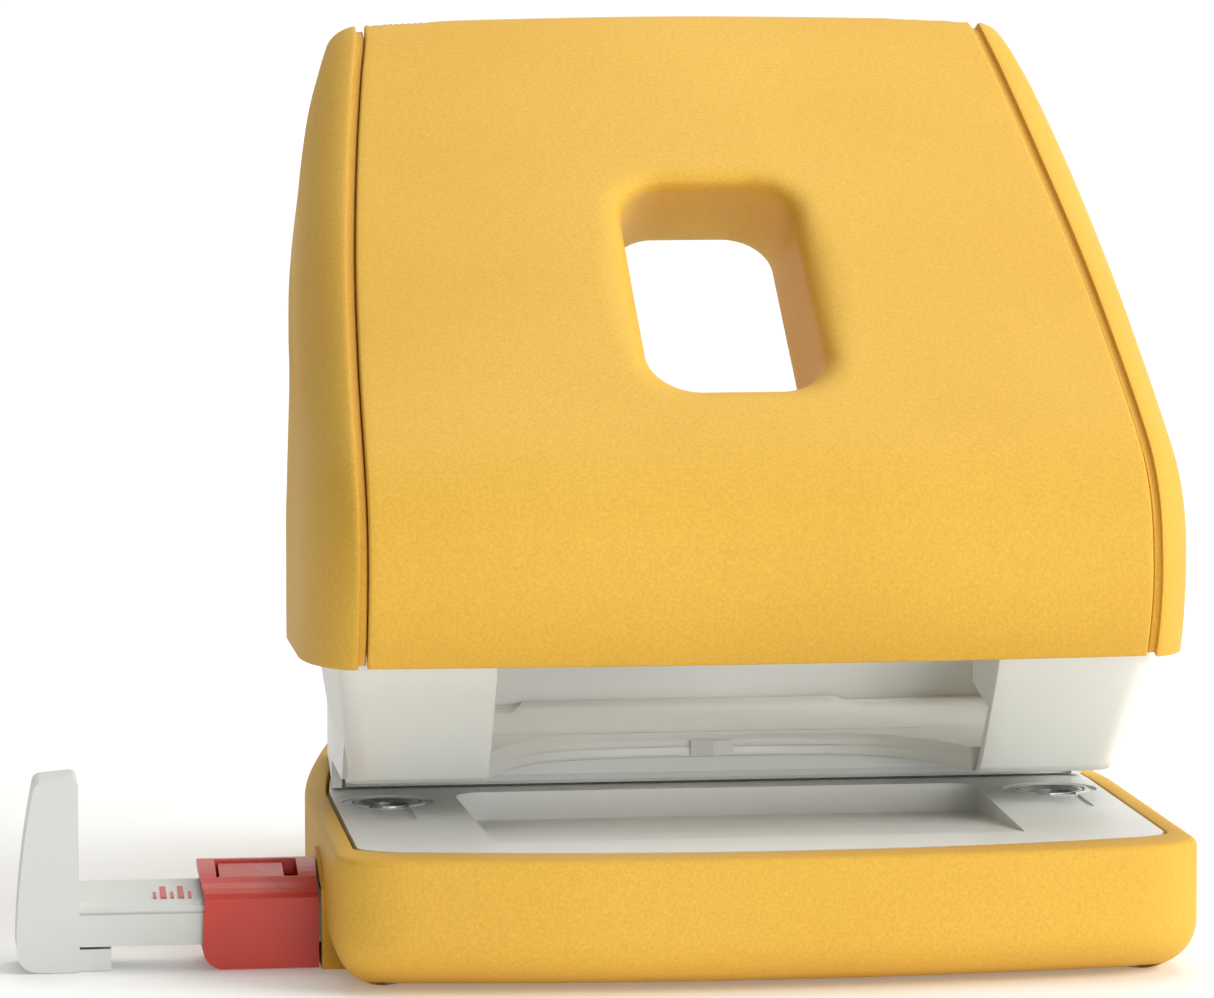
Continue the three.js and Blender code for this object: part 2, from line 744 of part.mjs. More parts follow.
// Everything behind the handle's back panel; grow moves the cut towards the front face.
function behindPanel(grow) {
  const depth = backThickness + grow;
  return alongX([
    [-6 - grow, 0], [120, 0], onBack(90, -30), onBack(90, -2 + grow), onBack(64.5 + grow, depth),
    onBack(0, depth), [-6 - grow, 44],
  ], -60, 60);
}

function makeHandle() {
  const shell = handleShell();
  const middle = shell.intersect(seamPrism(-seamGap));
  const openRear = block(-cheekOuter - 0.5, cheekOuter + 0.5, -12, 40, 0, 47);
  const sides = cut(shell, seamPrism(seamGap), openRear);
  const belowBack = alongX([
    [-40, 0], [120, 0], onBack(backFoot, -60), onBack(backFoot, 20), onBack(-20, 20),
  ], -60, 60);
  const back = cut(middle.intersect(behindPanel(0)), tunnelPrism(tunnelWall + gap, 30, 60, 0.95), belowBack);
  const aboveBack = alongX([onBack(-60, 0), onBack(90, 0), onBack(90, 90), onBack(-60, 90)], -60, 60);
  const tube = tunnelPrism(tunnelWall, 30, 60, 0.95)
    .intersect(skin(stations.map((_, i) => handleRing(i, 0))))
    .intersect(aboveBack);
  const bore = tunnelPrism(0, 30, 70, 0.92);
  const panel = cut(join(cut(middle, behindPanel(gap)), tube), bore);
  const right = sides.intersect(block(0, 80, -80, 90, 0, 120));
  const left = sides.intersect(block(-80, 0, -80, 90, 0, 120));
  return { panel, back, left, right };
}

function makeLever() {
  const arm = alongX([
    onBack(leverLength, -0.4),
    onBack(1, -0.4),
    [-9, 38],
    [pivotY - 5, pivotZ + 5],
    [pivotY - lobeRadius, pivotZ],
    [pivotY - 5, pivotZ - 5],
    [pivotY, pivotZ - lobeRadius],
    [pivotY + 5, pivotZ - 5],
    [pressBarY + 1, pressBarZ - 6.6],
    [pressBarY + 6, pressBarZ - 4],
    onBack(16, -9),
    onBack(leverLength, -5),
  ], armInner, armOuter);
  const web = alongX([
    onBack(leverLength, -0.4), onBack(2, -0.4), onBack(2, -1.9), onBack(leverLength, -1.9),
  ], -armOuter, armOuter);
  const holes = [
    rodX(axleRadius + gap, -60, 60, pivotY, pivotZ),
    rodX(pressBarRadius + gap, -60, 60, pressBarY, pressBarZ),
    tunnelPrism(tunnelWall + 1, 30, 80, 0.95),
  ];
  return cut(join(arm, mirrorX(arm), web), ...holes);
}

const screwSpots = [[-24, 25], [24, 25], [-24, 45], [24, 45]];

function screwAt(x, along, radius, low, high, headRadius = 0) {
  const slope = Math.atan2(backSlope[1], backSlope[0]);
  const profile = headRadius
    ? [[0, low], [headRadius * 0.7, low], [headRadius, low + 0.7], [headRadius, low + 1.6],
      [radius, low + 1.6], [radius, high], [0, high]]
    : [[0, low], [radius, low], [radius, high], [0, high]];
  const points = profile.map(([r, z]) => new THREE.Vector2(r, z));
  const geometry = new THREE.LatheGeometry(points, 16);
  geometry.rotateX(Math.PI / 2);
  geometry.rotateX(slope);
  const [y, z] = onBack(along, 0);
  geometry.translate(x, y, z);
  return toSolid(geometry);
}

function makeGuideBar() {
  const bar = alongX(barOutline(), barLeftX, barRightX);
  const grooveZ = barTopFront - 1.3;
  const groove = block(
    barLeftX - 1, barRightX + 1, barFrontY - 1, barFrontY + 0.25, grooveZ - 0.15, grooveZ + 0.15);
  return cut(bar, groove);
}

function makeGuideStop() {
  const shape = new THREE.Shape();
  shape.moveTo(-77.2, stopBottom);
  shape.lineTo(-77.2, 6.2);
  shape.quadraticCurveTo(-77.3, 6.8, -78.1, 6.8);
  shape.lineTo(-81.4, 6.5);
  shape.quadraticCurveTo(-82.1, 6.4, -82.3, 5.6);
  shape.quadraticCurveTo(-84.2, -4, -84.4, -12.6);
  shape.quadraticCurveTo(-84.3, stopBottom, -81.5, stopBottom);
  const plate = alongY(shape, -26.2, -16.4);
  const foot = block(-78, -73.6, barFrontY + 0.2, barRearY - 0.2, stopBottom, barBottom - gap);
  return join(plate, foot);
}

function makeCollar() {
  const sleeve = alongX(collarOutline(), collarLeftX, collarRightX);
  const frontView = new THREE.Shape();
  frontView.moveTo(collarRightX + 1, -20);
  frontView.lineTo(collarRightX + 1, 0);
  frontView.lineTo(collarLeftX + 0.4, 0);
  frontView.quadraticCurveTo(collarLeftX - 0.4, -4.4, collarLeftX + 0.5, -6.8);
  frontView.lineTo(collarLeftX + 0.2, -12.6);
  frontView.quadraticCurveTo(collarLeftX + 0.2, collarBottom, collarLeftX + 3.2, collarBottom - 0.1);
  const rounded = sleeve.intersect(alongY(frontView, -40, 0));
  const passage = alongX(barOutline(0.35), -90, -40);
  const window = block(-61.4, -52, -22.9, -17.3, -6.9, 0);
  return cut(rounded, passage, window);
}

function makeLockButton() {
  return alongX([
    [-22.5, -6], [-17.7, -5.2], [-17.7, -4.3], [-22.5, -5.3],
  ], -61, -53.6);
}

function build() {
  add('base_tray', makeTray(), yellowPlastic);
  add('hinge_pin_left', makeHingePin(-1), bareSteel);
  add('hinge_pin_right', makeHingePin(1), bareSteel);
  add('guide_lock_collar', makeCollar(), redPlastic);
  add('guide_lock_button', makeLockButton(), redPlastic);
  add('guide_bar', makeGuideBar(), greyPlastic);
  add('guide_end_stop', makeGuideStop(), greyPlastic);

  const rivetHoles = [-rivetX, rivetX].map((x) => rodZ(rivetRadius + gap, -9, 5, x, rivetY));
  add('base_plate', cut(makeBasePlate(), ...rivetHoles), greyMetal);
  add('paper_stop', makePaperStop(), greyMetal);
  add('upper_jaw', makeUpperJaw(), greyMetal);
  add('centre_mark', makeCentreMark(), greyMetal);
  add('mechanism_frame', cut(makeFrame(), ...rivetHoles), greyMetal);
  const cheek = makeCheek();
  add('cheek_right', cheek, greyPlastic);
  add('cheek_left', mirrorX(cheek), greyPlastic);
  add('pivot_axle', rodX(axleRadius, -axleHalfLength, axleHalfLength, pivotY, pivotZ), bareSteel);
  const clip = makeAxleClip();
  add('axle_clip_right', clip, darkSteel);
  add('axle_clip_left', mirrorX(clip), darkSteel);

  for (const [side, x] of [['left', -holeX], ['right', holeX]]) {
    add(`die_${side}`, makeDie(x), bareSteel);
    add(`punch_bush_${side}`, makeBush(x), greyMetal);
    add(`punch_pin_${side}`, makePunch(x), bareSteel);
    add(`return_spring_${side}`, makeSpring(x), darkSteel);
    add(`frame_rivet_${side}`, makeFrameRivet(x * 0.75), bareSteel);
  }

  const { panel, back, left, right } = makeHandle();
  const screwHoles = screwSpots.map(([x, along]) => screwAt(x, along, 1.5 + gap, -8, 3.4));
  add('handle_panel', panel, yellowPlastic);
  add('handle_back', cut(back, ...screwHoles), yellowPlastic);
  add('handle_cap_left', left, yellowPlastic);
  add('handle_cap_right', right, yellowPlastic);
  add('lever_frame', cut(makeLever(), ...screwHoles), greyMetal);
  add('press_bar', rodX(pressBarRadius, -44, 44, pressBarY, pressBarZ), bareSteel);
  screwSpots.forEach(([x, along], i) => {
    add(`lever_screw_${i + 1}`, screwAt(x, along, 1.5, -3.9, 2, 3), darkSteel);
  });
}

build();

export default part;
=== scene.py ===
import bmesh
import bpy
import json
import math
from mathutils import Matrix, Vector


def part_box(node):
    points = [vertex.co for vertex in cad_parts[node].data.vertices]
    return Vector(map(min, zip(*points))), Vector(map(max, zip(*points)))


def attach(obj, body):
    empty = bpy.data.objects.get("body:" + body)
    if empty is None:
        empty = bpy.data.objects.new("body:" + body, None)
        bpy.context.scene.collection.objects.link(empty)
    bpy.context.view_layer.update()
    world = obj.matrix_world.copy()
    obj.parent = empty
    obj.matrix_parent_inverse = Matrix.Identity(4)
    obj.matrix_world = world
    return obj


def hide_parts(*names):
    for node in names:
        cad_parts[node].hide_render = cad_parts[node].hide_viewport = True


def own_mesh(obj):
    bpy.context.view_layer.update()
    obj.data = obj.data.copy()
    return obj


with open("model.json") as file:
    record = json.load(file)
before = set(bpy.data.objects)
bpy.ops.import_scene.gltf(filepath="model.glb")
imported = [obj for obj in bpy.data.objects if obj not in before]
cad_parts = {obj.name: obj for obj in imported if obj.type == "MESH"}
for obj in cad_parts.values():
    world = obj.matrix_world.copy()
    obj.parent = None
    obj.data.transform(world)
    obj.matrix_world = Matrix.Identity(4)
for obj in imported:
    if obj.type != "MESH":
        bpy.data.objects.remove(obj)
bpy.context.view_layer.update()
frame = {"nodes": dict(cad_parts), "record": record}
mm = 0.001

# The punch datum: midway between the dies, on the base plate's top face.
dieLow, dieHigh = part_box("die_left")
datum = Vector((0, (dieLow[1] + dieHigh[1]) / 2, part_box("base_plate")[1][2]))
print("frame loaded, datum", [round(v, 4) for v in datum])


def place(point):
    return datum + Vector(point) * mm


# Mesh tools
def lerp(a, b, t):
    return tuple(p + (q - p) * t for p, q in zip(a, b))


def splineRows(rows, count):
    # Catmull-Rom through rows of numbers
    out = []
    last = len(rows) - 1
    for k in range(count + 1):
        t = k / count * last
        i = min(int(t), last - 1)
        f = t - i
        before, here, there, after = rows[max(i - 1, 0)], rows[i], rows[i + 1], rows[min(i + 2, last)]
        row = []
        for a, b, c, d in zip(before, here, there, after):
            square = 2 * a - 5 * b + 4 * c - d
            cube = 3 * b - 3 * c + d - a
            row.append(0.5 * (2 * b + (c - a) * f + square * f * f + cube * f ** 3))
        out.append(tuple(row))
    return out


def gridFaces(rows, cols, closeRows, closeCols, start=0):
    faces = []
    for r in range(rows if closeRows else rows - 1):
        for c in range(cols if closeCols else cols - 1):
            a = start + r * cols + c
            b = start + r * cols + (c + 1) % cols
            d = start + ((r + 1) % rows) * cols + c
            e = start + ((r + 1) % rows) * cols + (c + 1) % cols
            faces.append((a, b, e, d))
    return faces


class Shape:
    # Collects rings of points into one mesh
    def __init__(self):
        self.points = []
        self.faces = []

    def rings(self, rings, closeRows=False, closeCols=True, capStart=False, capEnd=False):
        start = len(self.points)
        cols = len(rings[0])
        for ring in rings:
            self.points.extend(ring)
        self.faces.extend(gridFaces(len(rings), cols, closeRows, closeCols, start))
        if capStart:
            self.faces.append(tuple(start + i for i in reversed(range(cols))))
        if capEnd:
            last = start + (len(rings) - 1) * cols
            self.faces.append(tuple(last + i for i in range(cols)))
        return self


def finishMesh(name, shape, material, sharp=40):
    mesh = bpy.data.meshes.new(name)
    mesh.from_pydata([place(p) for p in shape.points], [], shape.faces)
    work = bmesh.new()
    work.from_mesh(mesh)
    bmesh.ops.remove_doubles(work, verts=work.verts, dist=2e-6)
    bmesh.ops.dissolve_degenerate(work, edges=work.edges, dist=1e-6)
    bmesh.ops.recalc_face_normals(work, faces=work.faces)
    if work.calc_volume(signed=True) < 0:
        bmesh.ops.reverse_faces(work, faces=work.faces)
    work.to_mesh(mesh)
    work.free()
    for polygon in mesh.polygons:
        polygon.use_smooth = True
    mesh.set_sharp_from_angle(angle=math.radians(sharp))
    mesh.materials.append(material)
    piece = bpy.data.objects.new(name, mesh)
    bpy.context.scene.collection.objects.link(piece)
    return piece


def settle(piece, sharp=38):
    # Bakes the live modifiers into the piece's mesh
    graph = bpy.context.evaluated_depsgraph_get()
    mesh = bpy.data.meshes.new_from_object(piece.evaluated_get(graph))
    piece.modifiers.clear()
    piece.data = mesh
    for polygon in mesh.polygons:
        polygon.use_smooth = True
    mesh.set_sharp_from_angle(angle=math.radians(sharp))
    return piece


def carve(piece, cutter, action="DIFFERENCE", sharp=38):
    change = piece.modifiers.new("carve", "BOOLEAN")
    change.operation = action
    change.solver = "MANIFOLD"
    change.object = cutter
    settle(piece, sharp)
    bpy.data.objects.remove(cutter)


# Material tools
class Socket:
    def __init__(self, tree, link):
        self.tree = tree
        self.link = link

    def maths(self, operation, other=None, flipped=False):
        node = self.tree.nodes.new("ShaderNodeMath")
        node.operation = operation
        values = [self, other]
        if flipped:
            values.reverse()
        for value, socket in zip(values, node.inputs):
            if isinstance(value, Socket):
                self.tree.links.new(value.link, socket)
            elif value is not None:
                socket.default_value = value
        return Socket(self.tree, node.outputs[0])

    def __add__(self, other):
        return self.maths("ADD", other)

    def __radd__(self, other):
        return self.maths("ADD", other)

    def __sub__(self, other):
        return self.maths("SUBTRACT", other)

    def __rsub__(self, other):
        return self.maths("SUBTRACT", other, flipped=True)

    def __mul__(self, other):
        return self.maths("MULTIPLY", other)

    def __rmul__(self, other):
        return self.maths("MULTIPLY", other)


class Paint:
    # One material and its node tree
    def __init__(self, name):
        self.material = bpy.data.materials.new(name)
        self.material.use_nodes = True
        self.tree = self.material.node_tree
        self.shader = self.tree.nodes["Principled BSDF"]
        self.place = Socket(self.tree, self.tree.nodes.new("ShaderNodeTexCoord").outputs["Object"])

    def node(self, kind, settings=None, output=0, **values):
        node = self.tree.nodes.new(kind)
        for key, value in (settings or {}).items():
            if key == "stops":
                ramp = node.color_ramp
                while len(ramp.elements) < len(value):
                    ramp.elements.new(0.5)
                for element, (position, colour) in zip(ramp.elements, value):
                    element.position = position
                    element.color = (*colour, 1) if len(colour) == 3 else colour
            else:
                setattr(node, key, value)
        for key, value in values.items():
            socket = node.inputs[int(key[1:])] if key[0] == "i" and key[1:].isdigit() else node.inputs[key]
            if isinstance(value, Socket):
                self.tree.links.new(value.link, socket)
            else:
                socket.default_value = value
        return Socket(self.tree, node.outputs[output])

    def noise(self, scale, detail=2.0, roughness=0.5, vector=None):
        return self.node("ShaderNodeTexNoise", Vector=vector or self.place, Scale=scale, Detail=detail,
                         Roughness=roughness)

    def spread(self, value, low, high):
        # Maps 0.3..0.7 noise onto low..high
        return self.node("ShaderNodeMapRange", i0=value, i1=0.3, i2=0.7, i3=low, i4=high)

    def blend(self, factor, first, second, mode="MIX"):
        return self.node("ShaderNodeMix", {"data_type": "RGBA", "blend_type": mode}, output=2,
                         i0=factor, i6=first, i7=second)

    def bump(self, height, distance, strength=1.0, normal=None):
        values = {"Height": height, "Distance": distance, "Strength": strength}
        if normal:
            values["Normal"] = normal
        return self.node("ShaderNodeBump", **values)

    def set(self, **values):
        for key, value in values.items():
            socket = self.shader.inputs[key.replace("_", " ")]
            if isinstance(value, Socket):
                self.tree.links.new(value.link, socket)
            else:
                socket.default_value = value
        return self.material


def rgb(text):
    # sRGB hex to linear
    values = [int(text[i:i + 2], 16) / 255 for i in (0, 2, 4)]
    return tuple(v / 12.92 if v <= 0.04045 else ((v + 0.055) / 1.055) ** 2.4 for v in values)


yellowLook = {
    "colour": "E6B74D", "shade": "DFAE47", "grain": 2600.0, "grainDepth": 0.000032, "speck": (0.91, 1.07),
    "rough": (0.5, 0.6),
}


def makeYellowPlastic(name="yellowPlastic", look=yellowLook):
    paint = Paint(name)
    grain = paint.noise(look["grain"], 3.0, 0.6)
    fine = paint.noise(look["grain"] * 3.1, 1.0)
    drift = paint.noise(18.0, 2.0)
    colour = paint.blend(paint.spread(drift, 0.0, 1.0), (*rgb(look["colour"]), 1), (*rgb(look["shade"]), 1))
    speck = paint.spread(grain, *look["speck"])
    toned = paint.node("ShaderNodeVectorMath", {"operation": "SCALE"}, i0=colour, i3=speck)
    height = grain + fine * 0.4
    return paint.set(
        Base_Color=toned,
        Roughness=paint.spread(drift + (grain - 0.5) * 0.5, *look["rough"]),
        Normal=paint.bump(height, look["grainDepth"]),
        IOR=1.48, Specular_IOR_Level=0.12)


# Grey painted brighter than its own tone: a painted lift against the shade the handle casts on the cheeks and jaw
greyLookPaintedBrighter = {
    "colour": "EDEFEB", "shade": "E7E9E4", "grain": 900.0, "grainDepth": 0.000012, "rough": (0.3, 0.42),
}


def makeGrey(name, look, metallic=0.0):
    paint = Paint(name)
    grain = paint.noise(look["grain"], 3.0, 0.55)
    drift = paint.noise(25.0, 2.0)
    colour = paint.blend(paint.spread(drift, 0.0, 1.0), (*rgb(look["colour"]), 1), (*rgb(look["shade"]), 1))
    return paint.set(
        Base_Color=colour,
        Roughness=paint.spread(grain, *look["rough"]),
        Normal=paint.bump(grain, look["grainDepth"]),
        Metallic=metallic, Specular_IOR_Level=0.5)


redLook = {"colour": "CB321A", "shade": "BE2D18", "rough": (0.26, 0.36)}


def makeRedPlastic():
    paint = Paint("redPlastic")
    drift = paint.noise(60.0, 2.0)
    fine = paint.noise(1800.0, 2.0)
    colour = paint.blend(
        paint.spread(drift, 0.0, 1.0), (*rgb(redLook["colour"]), 1), (*rgb(redLook["shade"]), 1))
    return paint.set(
        Base_Color=colour,
        Roughness=paint.spread(drift, *redLook["rough"]),
        Normal=paint.bump(fine, 0.000006),
        Specular_IOR_Level=0.5)


def makeSteel(name, colour, rough, stretch=(1.0, 1.0, 0.04)):
    # Turned and ground steel: fine scratches that follow the grinding
    paint = Paint(name)
    along = paint.node("ShaderNodeMapping", Vector=paint.place, Scale=stretch)
    scratch = paint.noise(5200.0, 4.0, 0.6, along)
    drift = paint.noise(140.0, 2.0)
    darker = tuple(0.82 * v for v in rgb(colour))
    tone = paint.blend(paint.spread(drift, 0.0, 1.0), (*rgb(colour), 1), (*darker, 1))
    return paint.set(
        Base_Color=tone,
        Metallic=1.0,
        Roughness=paint.spread(scratch, rough - 0.06, rough + 0.1),
        Normal=paint.bump(scratch, 0.000004))


yellow = makeYellowPlastic()
# Both greys carry the painted lift against the handle's shadow
greyPaint = makeGrey("greyPaint", greyLookPaintedBrighter)
greyPlastic = makeGrey(
    "greyPlastic", {**greyLookPaintedBrighter, "colour": "EDEFEA", "rough": (0.36, 0.46), "grain": 1500.0})
# The same grey plastic painted darker for the guide bar and end stop, which stand in open light outside the
# handle's shadow
guideGreyPaintedDarker = makeGrey(
    "guideGreyPaintedDarker", {**greyLookPaintedBrighter, "colour": "D2D5D0", "shade": "CDD0CB", "grain": 1500.0})
red = makeRedPlastic()
steel = makeSteel("groundSteel", "D4D5D5", 0.34)
darkSteel = makeSteel("blackenedSteel", "5C5E61", 0.36)
print("materials made")


# Handle
handleSize = {
    "wall": 2.4, "crown": 1.0, "edge": 0.35, "grooveWidth": 1.05, "grooveDepth": 0.85,
    "tunnelHalf": 10.5, "tunnelCorner": 6.0, "tunnelTaper": 0.945, "tunnelNarrow": 0.045, "tunnelWall": 2.0,
    "lipReach": 4.8, "lipDepth": 4.2,
    "tunnelTop": (13.1, 72.4), "tunnelFoot": (-23.7, 50.5), "tunnelRun": (18.8, -7.6),
    "backStart": (-4.5, 42.1), "backSlope": (0.849, 0.528),
}


def onBack(along, off=0.0):
    y, z = handleSize["backStart"]
    slopeY, slopeZ = handleSize["backSlope"]
    return (y + slopeY * along - slopeZ * off, z + slopeZ * along + slopeY * off)


# Panel half-width, front (y, z), widest side (y, z), widest half-width, back (y, z)
handleStations = [
    (44.69, -34.8, 19.8, -16.5, 19.4, 51.4, 9.5, 18.9),
    (44.70, -36.9, 23.5, -17.6, 23.2, 51.4, 9.5, 23.0),
    (44.70, -38.4, 28.2, -18.4, 28.6, 51.4, 8.8, 28.8),
    (44.67, -38.5, 32.7, -18.5, 33.0, 51.4, 8.2, 34.0),
    (44.64, -37.5, 37.1, -17.8, 36.8, 51.25, 8.2, 38.5),
    (44.60, -34.6, 41.35, -15.3, 40.3, 51.05, 9.0, 43.0),
    (44.47, -29.5, 45.46, -11.0, 43.6, 50.75, *onBack(17.0)),
    (44.00, -16.05, 53.64, -0.5, 50.0, 50.4, *onBack(25.0)),
    (43.00, 2.0, 64.4, 13.5, 58.8, 49.7, *onBack(36.0)),
    (41.39, 20.67, 75.43, 28.8, 69.2, 48.3, *onBack(48.0)),
    (39.71, 35.72, 84.77, 41.3, 78.6, 46.3, *onBack(60.0)),
    (38.66, 43.57, 89.58, 47.2, 84.6, 44.4, *onBack(66.0)),
    (38.45, 48.2, 91.4, 50.6, 87.8, 43.2, 53.2, 83.5),
]
capEnds = [
    (38.4, 50.4, 90.8, 51.9, 87.5, 42.9, 53.6, 83.2),
    (38.3, 51.7, 89.5, 52.6, 87.0, 42.5, 53.8, 83.2),
    (38.3, 52.5, 87.9, 53.1, 86.3, 42.0, 54.0, 83.4),
]
handleRows = splineRows(handleStations, 144)
topEnd = [(50.3, 90.9), (51.5, 89.5), (52.4, 87.5), (53.2, 85.2), (53.5, 83.4), (53.0, 81.6), (51.6, 79.6)]


class FrontPath:
    # The front profile of the handle by distance along it, from the lower edge over the top
    def __init__(self):
        rows = [(row[1], row[2], row[0]) for row in handleRows]
        end = splineRows([(48.2, 91.4, 38.45)] + [(y, z, 38.3) for y, z in topEnd], 28)
        self.rows = rows + end[1:]
        self.along = [0.0]
        for a, b in zip(self.rows, self.rows[1:]):
            self.along.append(self.along[-1] + math.hypot(b[0] - a[0], b[1] - a[1]))
        self.length = self.along[-1]

    def at(self, w):
        w = min(max(w, 0.0), self.length)
        low, high = 0, len(self.along) - 1
        while high - low > 1:
            middle = (low + high) // 2
            if self.along[middle] <= w:
                low = middle
            else:
                high = middle
        span = self.along[high] - self.along[low]
        return lerp(self.rows[low], self.rows[high], (w - self.along[low]) / span)

    def normal(self, w):
        a = self.at(w - 1.2)
        b = self.at(w + 1.2)
        dy, dz = b[0] - a[0], b[1] - a[1]
        size = math.hypot(dy, dz)
        return (-dz / size, dy / size)

    def surface(self, x, w, sink=0.0):
        y, z, seam = self.at(w)
        ny, nz = self.normal(w)
        ends = min(1.0, w / 14.0) * min(1.0, max(self.length - w, 0.0) / 10.0)
        out = handleSize["crown"] * (1 - min(1.0, (x / seam) ** 2)) * (0.35 + 0.65 * ends) - sink
        return (x, y + ny * out, z + nz * out)


path = FrontPath()


def tunnelOutline(margin, count=360):
    # Rounded rectangle of the tunnel, in x and in height across the tunnel
    runY, runZ = handleSize["tunnelRun"]
    size = math.hypot(runY, runZ)
    run = (runY / size, runZ / size)
    across = (-run[1], run[0])
    top = sum(a * b for a, b in zip(handleSize["tunnelTop"], across)) + margin
    foot = sum(a * b for a, b in zip(handleSize["tunnelFoot"], across)) - margin
    half = handleSize["tunnelHalf"] + margin
    corner = handleSize["tunnelCorner"] + margin
    middle, reach = (top + foot) / 2, (top - foot) / 2
    points = []
    for k in range(count):
        angle = 2 * math.pi * k / count
        c, s = math.cos(angle), math.sin(angle)
        x = math.copysign(half - corner, c) + corner * c if abs(c) > 1e-9 else 0.0
        e = math.copysign(reach - corner, s) + corner * s if abs(s) > 1e-9 else 0.0
        points.append((x, middle + e))
    return points, run, across


def widthwise(across, height):
    # Distance along the front path at which it has this height across the tunnel
    low, high = 12.0, path.length - 25.0
    for _ in range(40):
        middle = (low + high) / 2
        y, z, _seam = path.at(middle)
        if y * across[0] + z * across[1] < height:
            low = middle
        else:
            high = middle
    return (low + high) / 2


def outlineByAngle(outline, centre):
    rows = []
    for x, w in outline:
        rows.append((math.atan2(w - centre[1], x - centre[0]), x, w))
    rows.sort()
    return rows


def castTo(rows, angle):
    if angle < rows[0][0] or angle > rows[-1][0]:
        a, b = rows[-1], rows[0]
        span = b[0] + 2 * math.pi - a[0]
        t = ((angle - a[0]) % (2 * math.pi)) / span
        return lerp(a[1:], b[1:], t)
    low, high = 0, len(rows) - 1
    while high - low > 1:
        middle = (low + high) // 2
        if rows[middle][0] <= angle:
            low = middle
        else:
            high = middle
    a, b = rows[low], rows[high]
    t = (angle - a[0]) / max(b[0] - a[0], 1e-9)
    return lerp(a[1:], b[1:], t)


def panelBoundary():
    # Points round the panel's outline in (x, distance), with the inward direction at each
    points = []
    length = path.length
    sideSteps, endSteps = 84, 52
    half = [path.at(length * k / sideSteps)[2] for k in range(sideSteps + 1)]
    for k in range(sideSteps):
        points.append((half[k], length * k / sideSteps, -1, 1 if k == 0 else 0))
    for k in range(endSteps):
        points.append((half[-1] * (1 - 2 * k / endSteps), length, -1 if k == 0 else 0, -1))
    for k in range(sideSteps):
        points.append((-half[sideSteps - k], length * (1 - k / sideSteps), 1, -1 if k == 0 else 0))
    for k in range(endSteps):
        points.append((-half[0] * (1 - 2 * k / endSteps), 0.0, 1 if k == 0 else 0, 1))
    return points


def makePanel():
    size = handleSize
    outline, run, across = tunnelOutline(0.0)
    hole = [(x, widthwise(across, height)) for x, height in outline]
    centre = (0.0, sum(w for _x, w in hole) / len(hole))
    holeRows = outlineByAngle(hole, centre)
    wide = tunnelOutline(size["tunnelWall"])[0]
    tubeRows = outlineByAngle([(x, widthwise(across, height)) for x, height in wide], centre)
    boundary = panelBoundary()
    edge = size["edge"]
    rings = []

    def boundaryRing(inward, sink):
        return [path.surface(x + dx * inward, w + dw * inward, sink) for x, w, dx, dw in boundary]

    angles = [math.atan2(w - centre[1], x - centre[0]) for x, w, _dx, _dw in boundary]
    holeAt = [castTo(holeRows, angle) for angle in angles]
    tubeAt = [castTo(tubeRows, angle) for angle in angles]

    # Inner face, from the tube out to the boundary
    innerSteps = 14
    for k in range(innerSteps + 1):
        t = (k / innerSteps) ** 1.3
        rings.append([
            path.surface(*lerp(tubeAt[i], (x + dx * 0.4, w + dw * 0.4), t), size["wall"])
            for i, (x, w, dx, dw) in enumerate(boundary)])
    rings.append(boundaryRing(0.0, size["wall"] - 0.4))
    for k in range(5):
        angle = k / 4 * math.pi / 2
        rings.append(boundaryRing(edge * (1 - math.cos(angle)), edge * (1 - math.sin(angle))))
    # Outer face, from the boundary in to the lip
    reach = size["lipReach"]
    lipStart = []
    for i in range(len(boundary)):
        hx, hw = holeAt[i]
        away = Vector((hx - centre[0], hw - centre[1])).normalized()
        lipStart.append((hx + away.x * reach, hw + away.y * reach))
    outerSteps = 40
    for k in range(1, outerSteps + 1):
        t = 1 - (1 - k / outerSteps) ** 1.15
        rings.append([
            path.surface(*lerp((x + dx * edge, w + dw * edge), lipStart[i], t))
            for i, (x, w, dx, dw) in enumerate(boundary)])
    # Rolled lip into the tunnel
    corner = [path.surface(*point) for point in holeAt]
    wallStart = []
    for x, y, z in corner:
        shrink = 1 - (1 - size["tunnelTaper"]) * 0.15
        wallStart.append((x * shrink, y + run[0] * size["lipDepth"], z + run[1] * size["lipDepth"]))
    lipEdge = [path.surface(*point) for point in lipStart]
    lipSteps = 14
    for k in range(1, lipSteps + 1):
        t = k / lipSteps
        rings.append([
            lerp(lerp(a, b, t), lerp(b, c, t), t) for a, b, c in zip(lipEdge, corner, wallStart)])
    # Tunnel wall to the back plane
    backY, backZ = onBack(0)
    outY, outZ = size["backSlope"][1], -size["backSlope"][0]
    wallEnd = []
    for x, y, z in corner:
        distance = ((backY - y) * outY + (backZ - z) * outZ) / (run[0] * outY + run[1] * outZ)
        wallEnd.append((x * size["tunnelTaper"], y + run[0] * distance, z + run[1] * distance))
    endMiddle = lerp(min(wallEnd, key=lambda p: p[2]), max(wallEnd, key=lambda p: p[2]), 0.5)
    wallEnd = [(x, *lerp((y, z), endMiddle[1:], size["tunnelNarrow"])) for x, y, z in wallEnd]
    for k in range(1, 9):
        rings.append([lerp(a, b, k / 8 * 0.97) for a, b in zip(wallStart, wallEnd)])
    # Rounded rim and the tube's outside back to the inner face
    middle = Vector((0, *onBack(21.8)))
    grown = []
    for point in wallEnd:
        away = (Vector(point) - middle).normalized() * size["tunnelWall"]
        grown.append(tuple(Vector(point) + away))
    rings.append([lerp(a, b, 0.25) for a, b in zip(wallEnd, grown)])
    rings.append([lerp(a, b, 0.75) for a, b in zip(wallEnd, grown)])
    first = rings[0]
    for k in range(4):
        rings.append([lerp(a, b, 0.03 + 0.95 * k / 4) for a, b in zip(grown, first)])
    return finishMesh("handlePanel", Shape().rings(rings, closeRows=True), yellow, 50)


